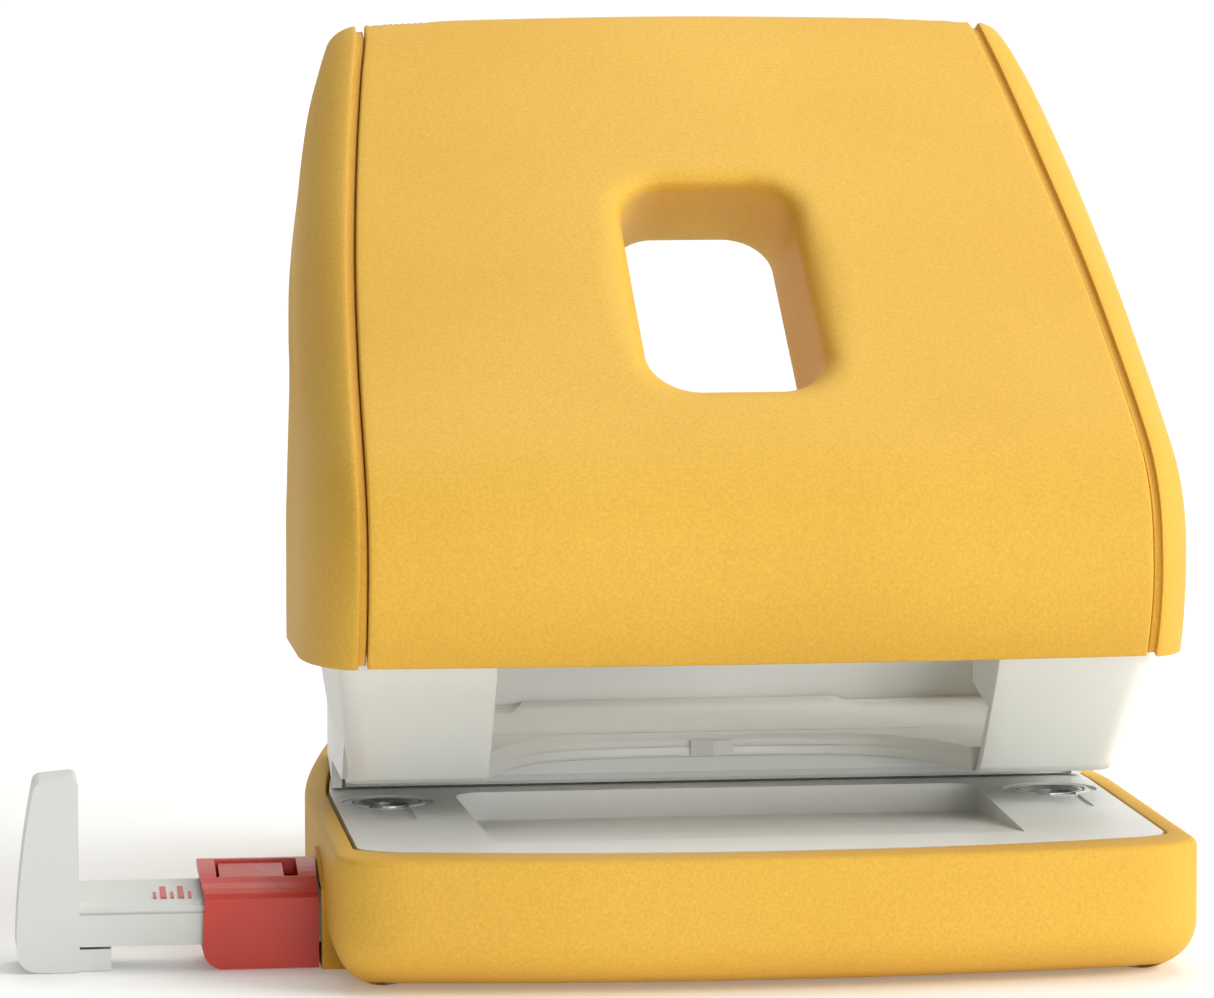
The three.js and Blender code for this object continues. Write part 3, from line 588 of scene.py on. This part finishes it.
def capSection(rows, i):
    seam, fy, fz, sy, sz, wide, by, bz = rows[i]
    size = handleSize
    before, after = rows[max(i - 1, 0)], rows[min(i + 1, len(rows) - 1)]
    down = Vector((after[2] - before[2], before[1] - after[1])).normalized()
    wall, depth = size["wall"], size["grooveDepth"]
    front, side, back = Vector((fy, fz)), Vector((sy, sz)), Vector((by, bz))

    def onFillet(x, sink=0.0):
        angle = math.asin(min(1.0, (x - seam) / (wide - seam)))
        return (x, *(front + (side - front) * (1 - math.cos(angle)) + down * sink))

    lip = seam + size["grooveWidth"]
    points = [
        (seam - 1.0, *(front + down * (wall + 0.9))),
        (seam - 1.0, *(front + down * (wall + 0.2))),
        (seam + 0.15, *(front + down * (wall + 0.15))),
        (seam + 0.15, *(front + down * (depth + 0.15))),
        (seam + 0.3, *(front + down * depth)),
        onFillet(lip - 0.12, depth), onFillet(lip, depth - 0.12),
        onFillet(lip, 0.3), onFillet(lip + 0.09, 0.08), onFillet(lip + 0.3)]
    first = math.asin((lip + 0.3 - seam) / (wide - seam))
    steps = 22
    for k in range(1, steps + 1):
        angle = first + (math.pi / 2 - first) * k / steps
        points.append(onFillet(seam + (wide - seam) * math.sin(angle)))
    fillet = min(2.2, (back - side).length * 0.4)
    run = (back - side).normalized()
    for k in range(1, 7):
        points.append((wide - 0.1 * k / 6, *(side + (back - side - run * fillet) * (k / 6))))
    for k in range(1, 6):
        angle = k / 5 * math.pi / 2
        turned = back - run * fillet * (1 - math.sin(angle))
        points.append((wide - 0.1 - fillet * (1 - math.cos(angle)), *turned))
    points.append((wide - 0.1 - fillet - 0.3, *back))
    inner = wide - wall
    points.append((wide - 0.1 - fillet - 0.3, *(back - run * min(wall, fillet))))
    points.append((inner, *(back - run * fillet * 1.6)))
    for k in range(1, 7):
        points.append((inner, *(side + (back - side - run * fillet * 1.6) * (1 - k / 6))))
    base = front + down * (wall + 0.9)
    for k in range(1, 10):
        angle = (1 - k / 10) * math.pi / 2
        x = seam + 0.6 + (inner - seam - 0.6) * math.sin(angle)
        points.append((x, *(base + (side - base) * (1 - math.cos(angle)))))
    return points


def makeCap(side):
    rows = handleRows + splineRows([handleRows[-1]] + capEnds, 12)[1:]
    rings = [[(x * side, y, z) for x, y, z in capSection(rows, i)] for i in range(len(rows))]
    shape = Shape().rings(rings, capStart=True, capEnd=True)
    return finishMesh("handleCapRight" if side > 0 else "handleCapLeft", shape, yellow, 50)


panel = makePanel()
capLeft = makeCap(-1)
capRight = makeCap(1)
print("handle made", len(panel.data.polygons), len(capLeft.data.polygons))


# Tray
traySize = {
    "halfWidth": 49.2, "tail": 43.0, "front": -48.4, "bow": 3.3, "rear": 67.7, "taper": 8.0, "corner": 8.0,
    "bottom": -15.4, "underside": 6.2, "sideSweep": 6.0, "frontSweep": 12.5, "rim": 0.9, "wall": 5.0,
    "floor": -13.4, "ledge": -1.8, "swing": 1.8, "earRadius": 3.0, "hinge": (60.0, -5.0),
    "deepTail": ((-38, 55, -13.4), (38, 64.5, 2)), "wideTail": ((-39.8, 52, -4.8), (39.8, 63.7, 2)),
    "barSlot": ((-60, -26.1, -13.0), (60, -16.5, -5.9)),
    "pad": ((-27.4, -15.4), (-14.4, -15.4), (-14.4, -3.7), (-14.7, -3.0), (-15.8, -2.9), (-21, -3.5),
            (-27.4, -6.2)),
}
plateSize = {
    "halfWidth": 46.2, "tail": 40.5, "front": -40.7, "bow": 5.0, "rear": 58.0, "taper": 8.0, "corner": 4.0,
}


def bezier(a, b, c, t):
    return lerp(lerp(a, b, t), lerp(b, c, t), t)


def planRing(size, inset, z, frontInset=None):
    # Bowed front, straight sides that draw in to the tail; frontInset draws the front in further
    extra = (frontInset if frontInset is not None else inset) - inset
    half, tail = size["halfWidth"] - inset, size["tail"] - inset
    front, rear = size["front"] + inset, size["rear"] - inset
    corner = max(size["corner"] - inset, 1.5)
    taper = size["taper"]
    right = []
    for k in range(25):
        middle = (0, front - 2 * size["bow"])
        x, y = bezier((-half + corner, front), middle, (half - corner, front), 0.5 + k / 48)
        right.append((x, y + extra))
    for k in range(1, 13):
        t = k / 12
        x, y = bezier((half - corner, front), (half, front + 1.6), (half, front + corner), t)
        right.append((x, y + extra * (1 - t * t * 0.8)))
    for k in range(1, 11):
        right.append((half, front + corner + (taper - front - corner) * k / 10 + extra * 0.2 * (1 - k / 10)))
    for k in range(1, 17):
        right.append(bezier((half, taper), (half - 0.8, taper + 19), (tail, rear - corner), k / 16))
    for k in range(1, 13):
        right.append(bezier((tail, rear - corner), (tail - 1, rear), (tail - 1.3 * corner, rear), k / 12))
    for k in range(1, 9):
        right.append(((tail - 1.3 * corner) * (1 - k / 8), rear))
    left = [(-x, y) for x, y in right[1:-1]][::-1]
    return [(x, y, z) for x, y in right + left]


def boxShape(low, high):
    corners = ((low[0], low[1]), (high[0], low[1]), (high[0], high[1]), (low[0], high[1]))
    rings = [[(x, y, z) for x, y in corners] for z in (low[2], high[2])]
    return Shape().rings(rings, capStart=True, capEnd=True)


def prismX(outline, low, high):
    # A closed (y, z) outline run along x
    rings = [[(x, y, z) for y, z in outline] for x in (low, high)]
    return Shape().rings(rings, capStart=True, capEnd=True)


def makeTray():
    size = traySize
    rings = [planRing(size, size["sideSweep"] + 3, size["bottom"], size["frontSweep"] + 3)]
    for k in range(11):
        angle = k / 10 * math.pi / 2
        rings.append(planRing(
            size, size["sideSweep"] * (1 - math.sin(angle)),
            size["bottom"] + size["underside"] * (1 - math.cos(angle)),
            size["frontSweep"] * (1 - math.sin(angle))))
    rim = size["rim"]
    for k in range(1, 6):
        z = size["bottom"] + size["underside"]
        rings.append(planRing(size, 0.0, z + (-rim - z) * k / 5))
    for k in range(1, 6):
        angle = k / 5 * math.pi / 2
        rings.append(planRing(size, rim * (1 - math.cos(angle)), -rim * (1 - math.sin(angle))))
    ledge, floor, wall = size["ledge"], size["floor"], size["wall"]
    for inset, z in ((-0.7, 0.0), (-0.5, -0.08), (-0.4, -0.35), (-0.4, ledge)):
        rings.append(planRing(plateSize, inset, z))
    for inset, z in ((wall, ledge), (wall, floor + 1), (wall + 1, floor)):
        rings.append(planRing(size, inset, z, inset + (2.5 if z < -5 else 0)))
    tray = finishMesh("tray", Shape().rings(rings, capStart=True, capEnd=True), yellow, 38)
    # Landing pad that the lock collar butts against
    carve(tray, finishMesh("pad", prismX(size["pad"], -49.6, -44.5), yellow), "UNION")
    # The plate's tail corners swing back as the tray opens
    swing = []
    for z in (ledge, 3):
        swing.append([
            (x, min(max(y, 50) + size["swing"], 61.2), z) for x, y, z in planRing(plateSize, -0.4, z)])
    carve(tray, finishMesh("cutter", Shape().rings(swing, capStart=True, capEnd=True), yellow))
    for corners in (size["deepTail"], size["wideTail"], size["barSlot"]):
        carve(tray, finishMesh("cutter", boxShape(*corners), yellow))
    carve(tray, finishMesh("ears", earShape(), yellow), "UNION")
    return tray


def earShape():
    # Two pairs of upright ears that carry the hinge pins
    hingeY, hingeZ = traySize["hinge"]
    radius = traySize["earRadius"]
    outline = [(hingeY - radius, -13.8), (hingeY + radius, -13.8), (hingeY + radius, hingeZ)]
    for k in range(1, 9):
        angle = k / 8 * math.pi
        outline.append((hingeY + radius * math.cos(angle), hingeZ + radius * math.sin(angle)))
    ears = Shape()
    for side in (-1, 1):
        for x in (22.2, 33.4):
            ear = prismX(outline, *sorted((side * x, side * (x + 2.4))))
            start = len(ears.points)
            ears.points.extend(ear.points)
            ears.faces.extend(tuple(start + i for i in face) for face in ear.faces)
    return ears


jawSize = {
    "half": 43.9, "rearHalf": 42.1, "front": -8.8, "rear": 39.9, "boreX": 40, "bore": 4.5,
    "arch": (
        (-28.8, -8.8), (-26.8, -3.6), (-23.6, 2.0), (-18.6, 6.4), (-9.0, 8.0), (0.0, 8.2),
        (9.0, 8.0), (18.6, 6.4), (23.6, 2.0), (26.8, -3.6), (28.8, -8.8)),
    # Inset and height round the rolled lip, from the underside to the flat top
    "lip": (
        (1.6, 3.5), (0.35, 3.5), (0.1, 3.6), (0.0, 3.85), (0.0, 4.55), (0.05, 4.72), (0.28, 4.82),
        (0.34, 4.95), (0.3, 5.15), (0.32, 5.5), (0.48, 5.86), (0.78, 6.14), (1.2, 6.29), (1.6, 6.34),
        (2.0, 6.3), (2.3, 6.18), (2.7, 6.12), (3.1, 6.1)),
    # Height and inset of the raised shelf
    "shelf": ((5.6, 0.0), (6.5, 0.0), (6.72, 0.12), (6.8, 0.4)), "shelfFront": 6.14,
}


def circleRings(x, radius, low, high):
    rings = []
    for z in (low, high):
        angles = [k / 24 * math.pi for k in range(48)]
        rings.append([(x + radius * math.cos(a), radius * math.sin(a), z) for a in angles])
    return rings


def makeJaw():
    # Pressed plate over the paper: an arched lip with a rolled bead, and a raised shelf behind it
    size = jawSize
    half, front, rear = size["half"], size["front"], size["rear"]
    arch = splineRows(size["arch"], 80)
    side = [(half, front)] + [(half, front + k * 1.85) for k in range(1, 9)] + [(size["rearHalf"], rear)]
    outline = arch + side + [(x, rear) for x in (30, 15, 0, -15, -30)] + [(-x, y) for x, y in reversed(side)]
    count = len(outline)
    normals = []
    for i in range(count):
        ax, ay = outline[i - 1]
        bx, by = outline[(i + 1) % count]
        span = math.hypot(bx - ax, by - ay)
        normals.append((-(by - ay) / span, (bx - ax) / span))

    def ring(inset, z):
        # The roll fades out towards the arch's feet and round the sides
        rows = []
        for (x, y), (nx, ny) in zip(outline, normals):
            fade = min(1.0, max(0.0, (abs(x) - 20.0) / 8.0))
            share = 1 - 0.82 * fade * fade * (3 - 2 * fade)
            rows.append((x + nx * inset * share, y + ny * inset * share, z))
        return rows

    shape = Shape().rings([ring(*step) for step in size["lip"]], capStart=True, capEnd=True)
    jaw = finishMesh("upperJaw", shape, greyPaint, 40)
    shelfRows = []
    for z, inset in size["shelf"]:
        low = min(z, size["shelfFront"])
        shelfRows.append([
            (-26 + inset, 12 + inset, low), (26 - inset, 12 + inset, low),
            (20 - inset, 39.4, z), (-20 + inset, 39.4, z)])
    shelf = finishMesh("shelf", Shape().rings(shelfRows, capStart=True, capEnd=True), greyPaint)
    carve(jaw, shelf, "UNION", 20)
    for x in (-size["boreX"], size["boreX"]):
        hole = Shape().rings(circleRings(x, size["bore"], 2, 9), capStart=True, capEnd=True)
        carve(jaw, finishMesh("cutter", hole, greyPaint), sharp=20)
    return jaw


cheekSize = {
    "inner": 29.0, "outer": 47.2, "draw": 1.9, "wall": 1.4, "corner": 2.6, "rear": 12.0, "bore": 3.3,
    "pivot": (-17.0, 26.0), "side": 1.1,
}
# Front face from the top down to the hooked foot
cheekFace = [
    (-27.4, 31.0), (-27.35, 27.0), (-27.1, 23.0), (-25.9, 18.2), (-21.7, 13.3), (-17.3, 8.4), (-13.9, 4.95),
    (-12.9, 4.2), (-11.7, 3.72), (-10.4, 3.52), (-9.2, 3.5)]


def cheekSection(y, z):
    # Outline of the cheek at one height
    size = cheekSize
    inner, wall, corner = size["inner"], size["wall"], size["corner"]
    outer = size["outer"] - size["draw"] * min(1.0, max(0.0, (18.0 - z) / 12.5)) ** 1.2
    front = [(inner + 0.15, y + 0.12), (inner + 0.5, y)]
    for k in range(1, 9):
        front.append((inner + 0.5 + (outer - corner - inner - 0.5) * k / 8, y))
    for k in range(1, 9):
        angle = k / 8 * math.pi / 2
        front.append((outer - corner + corner * math.sin(angle), y + corner * (1 - math.cos(angle))))
    rear = max(size["rear"], y + 5)
    for k in range(1, 7):
        front.append((outer, y + corner + (rear - y - corner) * k / 6))
    side = outer - size["side"]
    # The inner return reaches back above the throat only
    reach = max(0.0, min(-9.2, y + 16.0) - y - wall) * min(1.0, max(0.0, (z - 12.5) / 1.5))
    depth = y + wall + 0.3 + reach
    back = [
        (side, rear), (side, y + corner + 1), (outer - wall - 1.2, y + wall + 0.2),
        (inner + 2.6, y + wall), (inner + 1.2, y + wall),
        (inner + 1.2, depth), (inner, depth), (inner, y + 0.5)]
    return front + back


def makeCheek(side):
    # Curved cover beside the throat
    rings = [[(side * px, py, z) for px, py in cheekSection(y, z)] for y, z in splineRows(cheekFace, 60)]
    shape = Shape().rings(rings, capStart=True, capEnd=True)
    cheek = finishMesh("cheekRight" if side > 0 else "cheekLeft", shape, greyPlastic, 42)
    pivotY, pivotZ = cheekSize["pivot"]
    bore = cheekSize["bore"]
    rings = []
    for x in (26, 60):
        angles = [k / 24 * math.pi for k in range(48)]
        rings.append([(side * x, pivotY + bore * math.cos(a), pivotZ + bore * math.sin(a)) for a in angles])
    carve(cheek, finishMesh("cutter", Shape().rings(rings, capStart=True, capEnd=True), greyPlastic))
    return cheek


tray = makeTray()
jaw = makeJaw()
cheeks = [makeCheek(-1), makeCheek(1)]
print("tray, jaw and cheeks made")


def makeCoil(low, high, wire, turns):
    # Coil spring that fills the box from low to high
    group = bpy.data.node_groups.new("coil", "GeometryNodeTree")
    for title in ("Radius", "Wire", "Height", "Turns"):
        group.interface.new_socket(title, in_out="INPUT", socket_type="NodeSocketFloat")
    group.interface.new_socket("Geometry", in_out="OUTPUT", socket_type="NodeSocketGeometry")
    nodes, links = group.nodes, group.links
    start, end = nodes.new("NodeGroupInput"), nodes.new("NodeGroupOutput")
    spiral = nodes.new("GeometryNodeCurveSpiral")
    spiral.inputs["Resolution"].default_value = 40
    section = nodes.new("GeometryNodeCurvePrimitiveCircle")
    section.inputs["Resolution"].default_value = 14
    sweep = nodes.new("GeometryNodeCurveToMesh")
    sweep.inputs["Fill Caps"].default_value = True
    paintIt = nodes.new("GeometryNodeSetMaterial")
    paintIt.inputs["Material"].default_value = darkSteel
    links.new(start.outputs["Turns"], spiral.inputs["Rotations"])
    links.new(start.outputs["Radius"], spiral.inputs["Start Radius"])
    links.new(start.outputs["Radius"], spiral.inputs["End Radius"])
    links.new(start.outputs["Height"], spiral.inputs["Height"])
    links.new(start.outputs["Wire"], section.inputs["Radius"])
    links.new(spiral.outputs[0], sweep.inputs["Curve"])
    links.new(section.outputs[0], sweep.inputs["Profile Curve"])
    links.new(sweep.outputs[0], paintIt.inputs["Geometry"])
    links.new(paintIt.outputs[0], end.inputs[0])
    holder = bpy.data.objects.new("coil", bpy.data.meshes.new("coil"))
    bpy.context.scene.collection.objects.link(holder)
    modifier = holder.modifiers.new("coil", "NODES")
    modifier.node_group = group
    values = {
        "Radius": (high[0] - low[0]) / 2 - wire, "Wire": wire,
        "Height": high[2] - low[2] - 2 * wire, "Turns": turns}
    for item in group.interface.items_tree:
        if item.item_type == "SOCKET" and item.in_out == "INPUT":
            modifier[item.identifier] = float(values[item.name])
    settle(holder)
    middle = Vector(((low[0] + high[0]) / 2, (low[1] + high[1]) / 2, low[2] + wire))
    holder.data.transform(Matrix.Translation(middle))
    return holder


tickSize = {"thick": 0.04, "front": -24.3, "rear": -20.0, "topFront": -7.4, "frontY": -25.6, "slope": 0.16}


def makeTicks():
    # Printed strokes on the guide bar's sloping top
    size = tickSize
    marks = Shape()
    for x, width, share in (
            (-64.5, 0.35, 0.5), (-65.5, 0.7, 1.0), (-66.5, 0.35, 0.5), (-67.5, 0.7, 1.0), (-68.5, 0.35, 0.5)):
        rear = size["front"] + (size["rear"] - size["front"]) * share
        rings = []
        for lift in (-0.1, size["thick"]):
            rings.append([
                (px, py, size["topFront"] + (py - size["frontY"]) * size["slope"] + lift)
                for px, py in (
                    (x - width / 2, size["front"]), (x + width / 2, size["front"]), (x + width / 2, rear),
                    (x - width / 2, rear))])
        marks.rings(rings, capStart=True, capEnd=True)
    return finishMesh("guideTicks", marks, red)


def makeSoftener():
    # Shades smooth across shallow edges only
    group = bpy.data.node_groups.new("softenShallowEdges", "GeometryNodeTree")
    group.interface.new_socket("Geometry", in_out="INPUT", socket_type="NodeSocketGeometry")
    group.interface.new_socket("Geometry", in_out="OUTPUT", socket_type="NodeSocketGeometry")
    nodes, links = group.nodes, group.links
    start = nodes.new("NodeGroupInput")
    end = nodes.new("NodeGroupOutput")
    faces = nodes.new("GeometryNodeSetShadeSmooth")
    faces.domain = "FACE"
    edges = nodes.new("GeometryNodeSetShadeSmooth")
    edges.domain = "EDGE"
    edges.inputs["Shade Smooth"].default_value = False
    angle = nodes.new("GeometryNodeInputMeshEdgeAngle")
    steep = nodes.new("FunctionNodeCompare")
    steep.inputs[1].default_value = math.radians(31)
    links.new(angle.outputs["Unsigned Angle"], steep.inputs[0])
    links.new(start.outputs[0], faces.inputs["Geometry"])
    links.new(faces.outputs[0], edges.inputs["Geometry"])
    links.new(steep.outputs[0], edges.inputs["Selection"])
    links.new(edges.outputs[0], end.inputs[0])
    return group


softener = makeSoftener()
bevelWidths = {
    "base_plate": 0.4, "guide_end_stop": 0.8, "guide_bar": 0.35, "guide_lock_collar": 0.45,
    "guide_lock_button": 0.25, "mechanism_frame": 0.3, "handle_back": 0.5, "paper_stop": 0.2, "centre_mark": 0.25,
    "press_bar": 0.5, "pivot_axle": 0.4, "lever_frame": 0.3,
}

# CAD nodes that stay, with their finishes
for name, node in frame["nodes"].items():
    slotName = next(row["material_slot"] for row in frame["record"]["subparts"] if row["node"] == name)
    look = {
        "yellow_plastic": yellow, "grey_metal": greyPaint, "grey_plastic": greyPlastic,
        "red_plastic": red, "bare_steel": steel, "dark_steel": darkSteel,
    }[slotName]
    # The guide bar and end stop take the grey plastic's darker painted copy, as they stand in open light
    if name in ("guide_bar", "guide_end_stop"):
        look = guideGreyPaintedDarker
    node.data.materials.clear()
    node.data.materials.append(look)
    if name in bevelWidths:
        bevel = node.modifiers.new("edges", "BEVEL")
        bevel.width = bevelWidths[name] * mm
        bevel.segments = 3
        bevel.limit_method = "ANGLE"
        bevel.angle_limit = math.radians(34)
    node.modifiers.new("soften", "NODES").node_group = softener

for piece, node, body, slot in (
        (panel, "handle_panel", "handle", "yellow_plastic"),
        (capLeft, "handle_cap_left", "handle", "yellow_plastic"),
        (capRight, "handle_cap_right", "handle", "yellow_plastic"),
        (tray, "base_tray", "tray", "yellow_plastic"),
        (jaw, "upper_jaw", "mechanism", "grey_metal"),
        (cheeks[0], "cheek_left", "mechanism", "grey_plastic"),
        (cheeks[1], "cheek_right", "mechanism", "grey_plastic")):
    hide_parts(node)
    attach(piece, body)

for side in ("left", "right"):
    low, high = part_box(f"return_spring_{side}")
    coil = makeCoil(low, high, 0.00045, 6)
    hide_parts(f"return_spring_{side}")
    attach(coil, "mechanism")
    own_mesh(coil)
ticks = makeTicks()
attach(ticks, "guide")
print("springs and ticks made")


# Stage
def makeStage():
    floor = Paint("paleFloor")
    floor.set(Base_Color=(*rgb("F6F6F4"), 1), Roughness=0.9, Specular_IOR_Level=0.1,
              Emission_Color=(1, 1, 1, 1), Emission_Strength=0.14)
    # A floor that sweeps up behind the punch
    start, radius = 1.2, 0.8
    profile = [(-6.0, 0.0), (start, 0.0)]
    for k in range(1, 25):
        angle = k / 24 * math.pi / 2
        profile.append((start + radius * math.sin(angle), radius * (1 - math.cos(angle))))
    profile.append((start + radius, 4.0))
    points = [(x, y, z) for x in (-6, 6) for y, z in profile]
    mesh = bpy.data.meshes.new("floor")
    mesh.from_pydata(points, [], gridFaces(2, len(profile), False, False))
    mesh.flip_normals()
    for polygon in mesh.polygons:
        polygon.use_smooth = True
    mesh.materials.append(floor.material)
    sheet = bpy.data.objects.new("floor", mesh)
    bpy.context.scene.collection.objects.link(sheet)


def makeLamp(name, stand, aim, size, power, colour=(1, 1, 1)):
    data = bpy.data.lights.new(name, "AREA")
    data.shape = "RECTANGLE"
    data.size, data.size_y = size
    data.energy = power
    data.color = colour
    lamp = bpy.data.objects.new(name, data)
    lamp.location = stand
    lamp.rotation_euler = (Vector(aim) - Vector(stand)).to_track_quat("-Z", "Y").to_euler()
    bpy.context.scene.collection.objects.link(lamp)


def makeLight():
    world = bpy.data.worlds.new("studio")
    bpy.context.scene.world = world
    world.use_nodes = True
    # Dim on the left, brighter on the right
    nodes, links = world.node_tree.nodes, world.node_tree.links
    split = nodes.new("ShaderNodeSeparateXYZ")
    side = nodes.new("ShaderNodeMapRange")
    for socket, value in zip(side.inputs, (0.0, -0.7, 0.7, 0.06, 0.6)):
        socket.default_value = value
    links.new(nodes.new("ShaderNodeTexCoord").outputs["Generated"], split.inputs[0])
    links.new(split.outputs["X"], side.inputs[0])
    links.new(side.outputs[0], nodes["Background"].inputs["Strength"])
    nodes["Background"].inputs["Color"].default_value = (1, 1, 1, 1)
    makeLamp("key", (0.95, -0.55, 0.6), (0, 0, 0.04), (0.6, 0.6), 8)
    makeLamp("front", (0.18, -1.1, 0.12), (0, 0, 0.03), (0.5, 0.2), 3)
    makeLamp("top", (0.2, 0.1, 0.9), (0, 0, 0.04), (0.8, 0.6), 3.2)
    makeLamp("backdrop", (0, 0.9, 1.7), (0, 2.0, 0.7), (1.6, 0.4), 14)


cameraSize = {
    "azimuth": 7.52, "elevation": 4.80, "distance": 726.2, "roll": -0.24,
    "orbit": (0, 0, 40), "aim": (-13.5, 0, 35.7), "lens": 181.0,
}


def makeCamera():
    data = bpy.data.cameras.new("camera")
    data.lens = cameraSize["lens"]
    data.sensor_width = 36
    data.clip_end = 50
    camera = bpy.data.objects.new("camera", data)
    azimuth = math.radians(cameraSize["azimuth"])
    elevation = math.radians(cameraSize["elevation"])
    away = Vector((
        -math.sin(azimuth) * math.cos(elevation), -math.cos(azimuth) * math.cos(elevation),
        math.sin(elevation)))
    stand = place(Vector(cameraSize["orbit"]) + away * cameraSize["distance"])
    look = (place(cameraSize["aim"]) - stand).to_track_quat("-Z", "Y").to_matrix().to_4x4()
    roll = Matrix.Rotation(math.radians(cameraSize["roll"]), 4, "Z")
    camera.matrix_world = Matrix.Translation(stand) @ look @ roll
    bpy.context.scene.collection.objects.link(camera)
    bpy.context.scene.camera = camera


makeStage()
makeLight()
makeCamera()
bpy.context.scene.view_settings.view_transform = "Standard"
